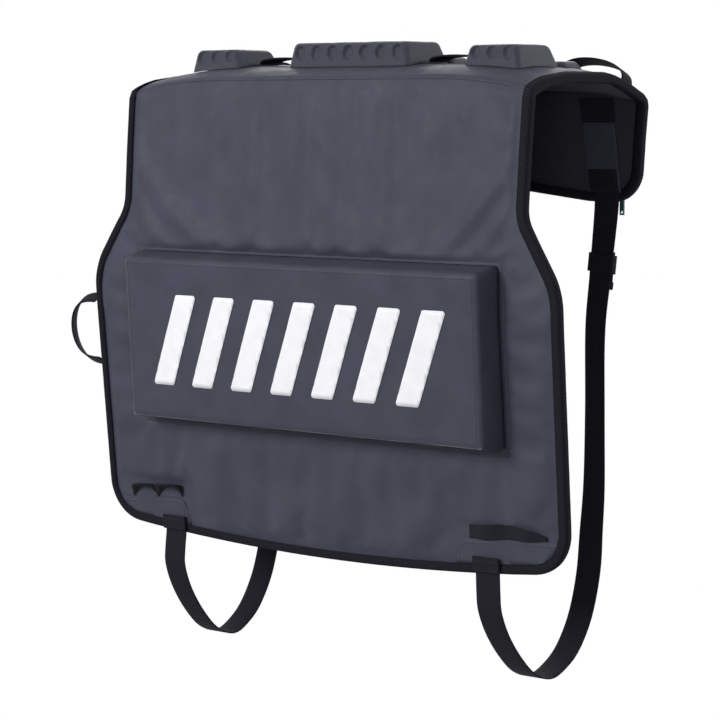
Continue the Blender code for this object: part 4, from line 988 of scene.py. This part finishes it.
# Rear loops
# A loop of webbing is sewn across each rear corner of the top. It stands up by its own stiffness,
# with its outer foot lower, where the corner droops.
LOOP_WIDTH, LOOP_THICK = 0.022, 0.0016
LOOP_INNER_X, LOOP_OUTER_X, LOOP_Y, LOOP_RISE = 0.212, 0.2985, 0.084, 0.0235
for side, label in ((-1, "left"), (1, "right")):
    route, across = arch_route(side * LOOP_INNER_X, side * LOOP_OUTER_X, s_at(LOOP_Y), LOOP_RISE, 24,
                               LOOP_THICK / 2)
    loop, length = band(f"rear_loop_{label}_webbing", route, across, LOOP_WIDTH, LOOP_THICK,
                        "webbing", f"rear_loop_{label}")

# Corner patches
# The coated cloth is doubled at the hem's corners: a patch with a rounded inner corner is sewn on
# with two rows of stitches.
PATCH_RISE = {"left": math.radians(-4), "right": math.radians(3.5)}
PATCH_LEAN = {"left": math.radians(12), "right": math.radians(3)}
PATCH_ROUND, PATCH_THICK, PATCH_STEPS = 0.020, 0.0010, 6
PATCH_SEAMS = (0.0022, 0.0060)


def patch_outline(side, label, inset=0.0):
    """Flat outline of a corner patch, and how far a point lies within its free edges."""
    bm = cut(shrink(OUTLINE, BINDING_WIDTH + GAP), 1.0, s_to=0.04 - PATCH_DOWN[label],
             x_from=0.0 if side > 0 else -1.0, x_to=0.0 if side < 0 else 1.0)
    first, last = PATCH_RISE[label], math.pi / 2 - PATCH_LEAN[label]
    normals = []
    for step in range(PATCH_STEPS + 1):
        turn = first + (last - first) * step / PATCH_STEPS
        normals.append(Vector((-side * math.sin(turn), math.cos(turn), 0)))
    corner = Vector((side * PATCH_INNER_X[label], -PATCH_DOWN[label], 0))
    centre = corner - (normals[0] + normals[-1]) * PATCH_ROUND / (1 + normals[0].dot(normals[-1]))
    for normal in normals:
        slice_off(bm, centre + normal * (PATCH_ROUND - inset), normal, clear=True)
    bm.faces.ensure_lookup_table()
    ring = [loop.vert.co.xy.copy() for loop in bm.faces[0].loops]
    bm.free()

    def beyond(point):
        away = point.to_3d() - centre
        return max(away.dot(normal) for normal in normals) - PATCH_ROUND + inset

    return ring, beyond


for side, label in ((-1, "left"), (1, "right")):
    flat = cut(patch_outline(side, label)[0], 0.006)
    wide, long, area = flat_size(flat)
    patch = piece(place(flat, lambda x, s: drape(x, s, FACE + GAP + PATCH_THICK)),
                  f"corner_patch_{label}_cloth", tarpaulin, "tarpaulin", f"corner_patch_{label}")
    thicken(patch, PATCH_THICK)
    rows = []
    for inset in PATCH_SEAMS:
        ring, beyond = patch_outline(side, label, inset)
        free = [p for p in walk(ring, STITCH_PITCH) if beyond(p) > -1e-4]
        free.sort(key=lambda p: side * p.x + p.y)
        rows.append([(drape(p.x, p.y, FACE + GAP + PATCH_THICK), out_of(p.x, p.y)) for p in free])
    seam(f"corner_patch_{label}_stitches", "tarpaulin", rows)

# Finger bands
# A stiff felted band lies along the top of each corner patch, sewn down at its ends and middle, so
# that it arches off the cloth twice. The hem is pulled down by the arches, which as modelled are
# lower than a finger is thick, most of all on the right.
BAND_INNER_X = {"left": HEM_HALF - 0.126, "right": HEM_HALF - 0.136}
BAND_OUTER_X = {"left": HEM_HALF - 0.040, "right": HEM_HALF - 0.027}
BAND_HEIGHT, BAND_THICK, BAND_POWER = 0.0155, 0.0022, 4
BAND_TIP = {"left": 0.0110, "right": 0.0050}
BAND_LIFT = {"left": 0.0010, "right": 0.0032}
BAND_OPEN = {"left": 0.0130, "right": 0.0}
BAND_TURN = {"left": math.radians(70), "right": math.radians(8)}
BAND_SPRING = {"left": 1.0, "right": 2.0}
BAND_BOW = {"left": 0.0, "right": 0.0025}
BAND_RAGGED, RAGGED_SIZE, RAGGED_ROWS = 0.0009, 0.008, 0.012
FELT_DARK, FELT_LIGHT = (0.009, 0.009, 0.014), (0.022, 0.022, 0.032)
felt, shader = blank("felted_band", 0.95, 0.04)
shader.inputs["Sheen Weight"].default_value = 0.04
shader.inputs["Sheen Roughness"].default_value = 0.6
flat_place = cloth_place(felt)
fibres = mottle(felt, flat_place, 0.0014, 5, 0.7)
tint(felt, shader, spread(felt, fibres, 0, 1), FELT_DARK, FELT_LIGHT)
emboss(felt, shader, fibres, 0.0007, 0.9)
BAND_COLUMNS, BAND_ROWS = 48, 5
for side, label in ((-1, "left"), (1, "right")):
    band_length = BAND_OUTER_X[label] - BAND_INNER_X[label]

    def band_point(share, v, height):
        """Point of the band: share of its length, v of its width, at a height in its thickness."""
        x = BAND_INNER_X[label] + share * band_length
        foot = (x - PATCH_INNER_X[label]) * math.tan(PATCH_RISE[label]) - PATCH_DOWN[label] + GAP
        bow = abs(math.sin(2 * math.pi * share)) ** BAND_SPRING[label]
        turn = BAND_TURN[label] * bow ** 0.5
        crest = BAND_HEIGHT + (BAND_TIP[label] - BAND_HEIGHT) * share ** BAND_POWER
        crest += BAND_BOW[label] * math.sin(math.pi * share)
        ragged = cloudy(share * band_length, v * RAGGED_ROWS, RAGGED_SIZE, 8.0 + side) - 0.5
        ragged = BAND_RAGGED * ragged
        up = v * crest * math.cos(turn) + (BAND_THICK - height) * math.sin(turn) + ragged * v
        out = v * crest * math.sin(turn) + height * math.cos(turn) + abs(ragged)
        s = foot + BAND_OPEN[label] * bow ** 0.7 + up
        return drape(side * x, s, FACE + GAP + BAND_LIFT[label] * bow + out)

    felted = piece(woven(BAND_COLUMNS, BAND_ROWS,
                         lambda i, j: band_point(i / BAND_COLUMNS, j / BAND_ROWS, BAND_THICK / 2),
                         band_length, BAND_HEIGHT),
                   f"finger_band_{label}_felt", felt, "felt_band", f"finger_band_{label}", smooth=60)
    thicken(felted, BAND_THICK, offset=0)
    soften(felted, 0.0006)
    tacks = []
    for share in (0.014, 0.040, 0.480, 0.520):
        count = max(2, round(BAND_HEIGHT / STITCH_PITCH))
        tacks.append([(band_point(share, 0.06 + 0.88 * k / count, BAND_THICK),
                       out_of(side * BAND_INNER_X[label], -PATCH_DOWN[label]))
                      for k in range(count + 1)])
    seam(f"finger_band_{label}_stitches", "felt_band", tacks)

# Side straps
# Webbing runs from each hem corner below the tailgate and up behind it, and ends under a sewn anchor
# at the rear fold. A sleeve of the cover's cloth with a webbing cuff guides it over the flap, and
# below that a keeper of woven elastic holds its doubled tail, with the tip turned over.
STRAP_WIDTH, STRAP_THICK = 0.034, 0.0018
STRAP_FRONT_X, STRAP_LOW_X, STRAP_EXIT_X, STRAP_SEWN_X = 0.246, 0.256, 0.2685, 0.2455
STRAP_SPREAD, STRAP_SWING, STRAP_TWIST = 0.62, 0.005, math.radians(14)
STRAP_EXIT_DROP, STRAP_END_DOWN, FLAP_STEPS = 0.004, 0.541, 6
STRAP_SLACK = {"left": 0.010, "right": 0.0}
STRAP_SPLAY = {"left": 0.0085, "right": 0.0035}
STRAP_SPACING = 0.006
STRAP_BELLY, STRAP_AHEAD = 0.135, 0.0020
STRAP_BOW = ((0.0, 0.163), (0.01, 0.326), (0.08, 0.541), (0.20, 0.759), (0.34, 0.930), (0.50, 1.0),
             (0.655, 0.937), (0.79, 0.804), (0.91, 0.544), (0.98, 0.178))
STRAP_REAR = ((0.065, 1.0), (0.20, 0.75), (0.41, 1.0), (0.64, 1.25), (0.80, 1.0))
ANCHOR_START, ANCHOR_LENGTH, ANCHOR_WIDTH = 0.006, 0.031, 0.048
SLEEVE_WIDTH, SLEEVE_THICK, SLEEVE_END = 0.045, 0.0014, 0.121
CUFF_WIDTH, CUFF_HEIGHT, CUFF_BELOW = 0.041, 0.027, 0.0004
FLAP_ROW, FLAP_COLUMN, FLAP_SEAM_IN = 0.005, 0.006, 0.0025
FLAP_DIP, FLAP_DIP_SIZE = 0.0007, 0.016
TAB_WIDTH, TAB_HEIGHT, TAB_THICK, TAB_ABOVE = 0.038, 0.018, 0.0026, 0.001
KEEPER_HEIGHT, KEEPER_WALL, KEEPER_PLAY, KEEPER_DOWN = 0.022, 0.0013, 0.0010, 0.070
TAIL_ABOVE, TAIL_DROP, TAIL_FOLD = 0.004, 0.018, 0.010
STRAP_HEIGHT = TAPE_OUT + BINDING_THICK + GAP + STRAP_THICK / 2
FLAP_HEIGHT = TAPE_IN - BINDING_THICK - GAP - STRAP_THICK / 2
FLAP_EDGE = BACK_FOLD_S + FLAP_LENGTH + FLAP_LOBE
STRAP_OUT = FLAP_EDGE + STRAP_EXIT_DROP


def flap_x(s):
    """Distance from the middle at which the strap crosses the flap, which narrows upwards."""
    share = (s - BACK_FOLD_S - ANCHOR_START) / (FLAP_EDGE - BACK_FOLD_S - ANCHOR_START)
    return STRAP_SEWN_X + (STRAP_EXIT_X - STRAP_SEWN_X) * share


def on_flap(x, s, height):
    spot = drape(flap_x(s), s, height)
    return Vector((x, spot.y, spot.z))


STRAP_LOW = drape(0, hem(STRAP_FRONT_X), STRAP_HEIGHT)
STRAP_HIGH = on_flap(0, STRAP_OUT, FLAP_HEIGHT)


def smooth_route(points, spacing):
    """Even curve through the points."""
    route = []
    for i in range(len(points) - 1):
        p0, p1 = points[max(i - 1, 0)], points[i]
        p2, p3 = points[i + 1], points[min(i + 2, len(points) - 1)]
        steps = max(1, round((p2 - p1).length / spacing))
        for step in range(steps):
            t = step / steps
            route.append(0.5 * (2 * p1 + (p2 - p0) * t + (2 * p0 - 5 * p1 + 4 * p2 - p3) * t ** 2
                                + (3 * p1 - p0 - 3 * p2 + p3) * t ** 3))
    route.append(points[-1].copy())
    return route


def strap_route(side, label):
    """Middle line of a hanging strap, and the direction across it at each point."""
    low, high = STRAP_LOW, STRAP_HIGH
    points = [drape(0, -STRAP_END_DOWN, STRAP_HEIGHT), low.copy()]
    for share, drop in STRAP_BOW:
        hang = drop * STRAP_BELLY + STRAP_SLACK[label] * math.sin(math.pi * share)
        points.append(Vector((0, low.y + (high.y - low.y) * share, low.z - hang)))
    for share, ahead in STRAP_REAR:
        points.append(Vector((0, high.y - ahead * STRAP_AHEAD, low.z + (high.z - low.z) * share)))
    bottom = min(range(len(points)), key=lambda i: points[i].z)
    for i, point in enumerate(points):
        share = min(1.0, max(0, i - bottom) / (len(points) - bottom) / STRAP_SPREAD)
        splay = math.cos(math.pi / 2 * share)
        if i < bottom:
            splay = math.sin(math.pi / 2 * max(0, i - 1) / (bottom - 1))
        point.x = STRAP_FRONT_X + (STRAP_LOW_X - STRAP_FRONT_X) * share + STRAP_SPLAY[label] * splay
        point.x -= side * STRAP_SWING * math.sin(math.pi * share)
    points[-1].x = (points[-2].x + STRAP_EXIT_X) / 2
    for step in range(FLAP_STEPS + 1):
        s = STRAP_OUT - (STRAP_OUT - BACK_FOLD_S - ANCHOR_START) * step / FLAP_STEPS
        points.append(on_flap(flap_x(s), s, FLAP_HEIGHT))
    route = smooth_route(points, STRAP_SPACING)
    across = []
    for point in route:
        point.x *= side
        turn = 0.0
        if point.y > 0:
            rise = clamp((point.z - low.z) / (high.z - low.z))
            turn = STRAP_TWIST * math.sin(math.pi * rise)
        across.append(Vector((math.cos(turn), -side * math.sin(turn), 0)))
    return route, across


def on_route(route, across, z):
    """Place on the rear strand at a height, with the directions along and across it there."""
    for i in range(len(route) - 1):
        if route[i].y > 0 and route[i].z <= z <= route[i + 1].z:
            share = (z - route[i].z) / (route[i + 1].z - route[i].z)
            along = (route[i + 1] - route[i]).normalized()
            wide = across[i].lerp(across[i + 1], share)
            return route[i].lerp(route[i + 1], share), along, (wide - along * wide.dot(along)).normalized()


def flap_cloth(name, look, slot_name, s_from, s_to, width, side, *node, over=0.0):
    """Piece sewn flat on the flap's inner face, over the strap."""
    height = FLAP_HEIGHT - STRAP_THICK / 2 - GAP - SLEEVE_THICK / 2 - over
    rows = round((s_to - s_from) / FLAP_ROW)
    columns = round(width / FLAP_COLUMN)

    def where(i, j):
        s = s_from + (s_to - s_from) * i / rows
        v = j / columns - 0.5
        dip = FLAP_DIP * (cloudy(v * 0.05, s, FLAP_DIP_SIZE, 11.0 + side) - 0.5)
        return on_flap(side * flap_x(s) + v * width, s, height + dip)

    made = piece(woven(rows, columns, where, s_to - s_from, width), name, look, slot_name, *node,
                 smooth=60)
    thicken(made, SLEEVE_THICK, offset=0)
    soften(made, 0.0004)
    lines = []
    for a, b in (((-1, 1), (-1, -1)), ((1, -1), (1, 1)), ((-1, -1), (1, -1)), ((1, 1), (-1, 1))):
        ends = []
        for p, q in (a, b):
            s = (s_from + s_to) / 2 + q * ((s_to - s_from) / 2 - FLAP_SEAM_IN)
            ends.append(Vector((side * flap_x(s) + p * (width / 2 - FLAP_SEAM_IN), s)))
        lines.append([(on_flap(p.x, p.y, height - SLEEVE_THICK / 2), -out_of(p.x, p.y))
                      for p in stretch(*ends)])
    seam(f"{name}_stitches", slot_name, lines)


for side, label in ((-1, "left"), (1, "right")):
    route, across = strap_route(side, label)
    strap, length = band(f"strap_{label}_webbing", route, across, STRAP_WIDTH, STRAP_THICK,
                         "webbing", f"strap_{label}")

    spot, along, wide = on_route(route, across, STRAP_HIGH.z - KEEPER_DOWN)
    deep = along.cross(wide)
    if deep.y < 0:
        deep = -deep
    rise = KEEPER_HEIGHT / 2
    half = STRAP_WIDTH / 2 + KEEPER_PLAY + KEEPER_WALL
    near = -STRAP_THICK / 2 - KEEPER_PLAY - KEEPER_WALL
    far = STRAP_THICK * 1.5 + 2 * KEEPER_PLAY + KEEPER_WALL
    hoop = rounded([(0, near), (half, near, 0.0017), (half, far, 0.0017), (-half, far, 0.0017),
                    (-half, near, 0.0017), (0, near)], arc=math.radians(30))[:-1]

    def keeper_point(i, j):
        p = hoop[i % len(hoop)]
        return spot + wide * p.x + deep * p.y + along * rise * (j / 3 - 1)

    keeper = piece(woven(len(hoop), 6, keeper_point, 0.08, KEEPER_HEIGHT, closed=True),
                   f"strap_keeper_{label}_elastic", webbing, "webbing", f"strap_keeper_{label}",
                   smooth=60)
    thicken(keeper, KEEPER_WALL)
    soften(keeper, 0.0004)

    middle_out = STRAP_THICK + KEEPER_PLAY
    tail_spots = [(middle_out, rise + TAIL_ABOVE), (middle_out, 0.0), (middle_out, -rise),
                  (middle_out + 0.0003, -rise - TAIL_DROP + TAIL_FOLD),
                  (middle_out + 0.0003, -rise - TAIL_DROP + 0.001),
                  (middle_out + 0.0012, -rise - TAIL_DROP),
                  (middle_out + 0.0021, -rise - TAIL_DROP + 0.001),
                  (middle_out + 0.0021, -rise - TAIL_DROP + TAIL_FOLD * 0.85)]
    tail_route = smooth_route([spot + deep * a + along * b for a, b in tail_spots], 0.003)
    tail, length = band(f"strap_tail_{label}_webbing", tail_route, [wide] * len(tail_route),
                        STRAP_WIDTH, STRAP_THICK, "webbing", f"strap_tail_{label}")

    split_s = BACK_FOLD_S + ANCHOR_START + ANCHOR_LENGTH
    flap_cloth(f"anchor_patch_{label}_cloth", webbing, "webbing", BACK_FOLD_S + ANCHOR_START,
               split_s - GAP, ANCHOR_WIDTH, side, f"anchor_patch_{label}")
    flap_cloth(f"strap_sleeve_{label}_cloth", tarpaulin, "tarpaulin", split_s,
               BACK_FOLD_S + SLEEVE_END, SLEEVE_WIDTH, side, f"strap_sleeve_{label}")
    flap_cloth(f"strap_cuff_{label}_webbing", webbing, "webbing",
               BACK_FOLD_S + SLEEVE_END - CUFF_HEIGHT, BACK_FOLD_S + SLEEVE_END + CUFF_BELOW,
               CUFF_WIDTH, side, over=SLEEVE_THICK + 0.0001)

    tab_low = -STRAP_END_DOWN + TAB_ABOVE - TAB_HEIGHT
    tab_height = STRAP_HEIGHT + STRAP_THICK / 2 + GAP + TAB_THICK / 2
    tab_x = side * STRAP_FRONT_X

    def tab_point(i, j):
        puff = 0.0004 * math.sin(math.pi * j / 8)
        return drape(tab_x + TAB_WIDTH * (i / 10 - 0.5), tab_low + TAB_HEIGHT * j / 8,
                     tab_height + puff * (-1 if j < 2 else 1))

    tab = piece(woven(10, 8, tab_point, TAB_WIDTH, TAB_HEIGHT), f"strap_tab_{label}_webbing",
                webbing, "webbing", f"strap_tab_{label}", smooth=60)
    thicken(tab, TAB_THICK, offset=0)
    soften(tab, 0.0009, segments=3)
    tab_rows = [seam_line(stretch((tab_x - TAB_WIDTH / 2 + 0.003, tab_low + up),
                                  (tab_x + TAB_WIDTH / 2 - 0.003, tab_low + up)),
                          tab_height + TAB_THICK / 2) for up in (0.0022, 0.0042, TAB_HEIGHT - 0.0045)]
    seam(f"strap_tab_{label}_stitches", "webbing", tab_rows)

# Side handle
# A short band of webbing is caught under the edge binding at both its ends and bows out sideways.
HANDLE_TOP_DOWN, HANDLE_SPAN, HANDLE_REACH, HANDLE_FOOT = 0.2695, 0.0815, 0.050, 0.002
HANDLE_WIDTH, HANDLE_THICK, HANDLE_TURN, HANDLE_FULLNESS = 0.020, 0.0022, math.radians(30), 0.7
HANDLE_STEPS = 40


def beside_edge(share, out):
    """Point beside the left edge, share of the way down the handle."""
    s = -HANDLE_TOP_DOWN - HANDLE_SPAN * share
    down = (-s - SKIRT_DOWN) / (FRONT_LENGTH - HEM_BOW - SKIRT_DOWN)
    edge_x = SKIRT_HALF + (HEM_HALF - SKIRT_HALF) * down
    return drape(-edge_x - GAP - out, s, FACE / 2)


handle_route = [beside_edge(0, 0)]
for step in range(HANDLE_STEPS + 1):
    angle = math.pi * step / HANDLE_STEPS
    bow = math.sin(angle) ** HANDLE_FULLNESS if 0 < step < HANDLE_STEPS else 0.0
    handle_route.append(beside_edge((1 - math.cos(angle)) / 2,
                                    HANDLE_FOOT + (HANDLE_REACH - HANDLE_FOOT) * bow))
handle_route.append(beside_edge(1, 0))
across = []
for before, after in zip(handle_route[:1] + handle_route[:-1], handle_route[1:] + handle_route[-1:]):
    outward = Vector((0, 1, 0)).cross(after - before).normalized()
    across.append(Vector((0, math.cos(HANDLE_TURN), 0)) + outward * math.sin(HANDLE_TURN))
handle, length = band("side_handle_webbing", handle_route, across, HANDLE_WIDTH, HANDLE_THICK,
                      "webbing", "side_handle")

# Zip
# A moulded zip runs along the rear flap below the fold: a woven tape with two rows of plastic teeth,
# a cast metal slider, and a rubber pull that hangs from the slider's bail.
ZIP_DOWN, ZIP_END_SPACE = 0.091, 0.009
ZIP_HALF = TOP_HALF - BINDING_WIDTH - ZIP_END_SPACE
ZIP_S = BACK_FOLD_S + ZIP_DOWN
ZIP_TAPE_WIDTH, ZIP_TAPE_THICK = 0.018, 0.0007
TEETH_WIDTH, TEETH_THICK, TEETH_PITCH = 0.0060, 0.0016, 0.0041
ZIP_COLOUR_DARK, ZIP_COLOUR_LIGHT = (0.010, 0.010, 0.012), (0.018, 0.018, 0.022)
METAL_DARK, METAL_LIGHT = (0.045, 0.047, 0.052), (0.075, 0.078, 0.085)
RUBBER_DARK, RUBBER_LIGHT = (0.012, 0.060, 0.075), (0.020, 0.085, 0.105)
teeth_look, shader = blank("moulded_teeth", 0.38, 0.45)
tint(teeth_look, shader, mottle(teeth_look, solid_place(teeth_look), 0.01), ZIP_COLOUR_DARK,
     ZIP_COLOUR_LIGHT)
zip_metal, shader = blank("cast_zip_metal", 0.35, 0.5)
shader.inputs["Metallic"].default_value = 1.0
worn = mottle(zip_metal, solid_place(zip_metal), 0.004)
tint(zip_metal, shader, worn, METAL_DARK, METAL_LIGHT)
shine(zip_metal, shader, worn, 0.28, 0.45)
zip_rubber, shader = blank("pull_rubber", 0.55, 0.4)
zip_place = solid_place(zip_rubber)
tint(zip_rubber, shader, mottle(zip_rubber, zip_place, 0.006), RUBBER_DARK, RUBBER_LIGHT)
emboss(zip_rubber, shader, mottle(zip_rubber, zip_place, 0.0009, 2), 0.0001)
tape_top = FACE + GAP + ZIP_TAPE_THICK


def tape_point(i, j):
    x = ZIP_HALF * (i / 60 - 1)
    s = ZIP_S + ZIP_TAPE_WIDTH * (j / 6 - 0.5)
    wave = 0.0002 * (cloudy(x, s, 0.02, 13.0) - 0.5) * abs(j / 3 - 1)
    return drape(x, s, tape_top - ZIP_TAPE_THICK / 2 + wave)


tape = piece(woven(120, 6, tape_point, 2 * ZIP_HALF, ZIP_TAPE_WIDTH), "zip_tape_weave", webbing,
             "zip_plastic", "zip_tape", smooth=60)
thicken(tape, ZIP_TAPE_THICK, offset=0)
seam("zip_tape_stitches", "zip_plastic",
     [seam_line(stretch((-ZIP_HALF + 0.004, ZIP_S + up), (ZIP_HALF - 0.004, ZIP_S + up)), tape_top)
      for up in (-0.0074, 0.0074)])
teeth = bmesh.new()
count = round(2 * (ZIP_HALF - TEETH_WIDTH) / TEETH_PITCH)
for number in range(2 * count + 1):
    x = -ZIP_HALF + TEETH_WIDTH + number * (ZIP_HALF - TEETH_WIDTH) / count
    row = 1 if number % 2 else -1
    spot = drape(x, ZIP_S + row * TEETH_WIDTH * 0.22, tape_top + GAP + TEETH_THICK / 2)
    out = out_of(x, ZIP_S)
    up_cloth = out.cross(Vector((1, 0, 0)))
    tooth = Matrix((Vector((TEETH_PITCH * 0.27, 0, 0)), up_cloth * TEETH_WIDTH * 0.30,
                    out * TEETH_THICK * 0.52)).transposed().to_4x4()
    tooth.translation = spot
    bmesh.ops.create_icosphere(teeth, subdivisions=1, radius=1, matrix=tooth)
piece(teeth, "zip_teeth_row", teeth_look, "zip_plastic", "zip_teeth", smooth=80)
for name, look in (("zip_slider", zip_metal), ("zip_pull", zip_rubber)):
    dress(name, look)
    soften(nodes[name], 0.0003)
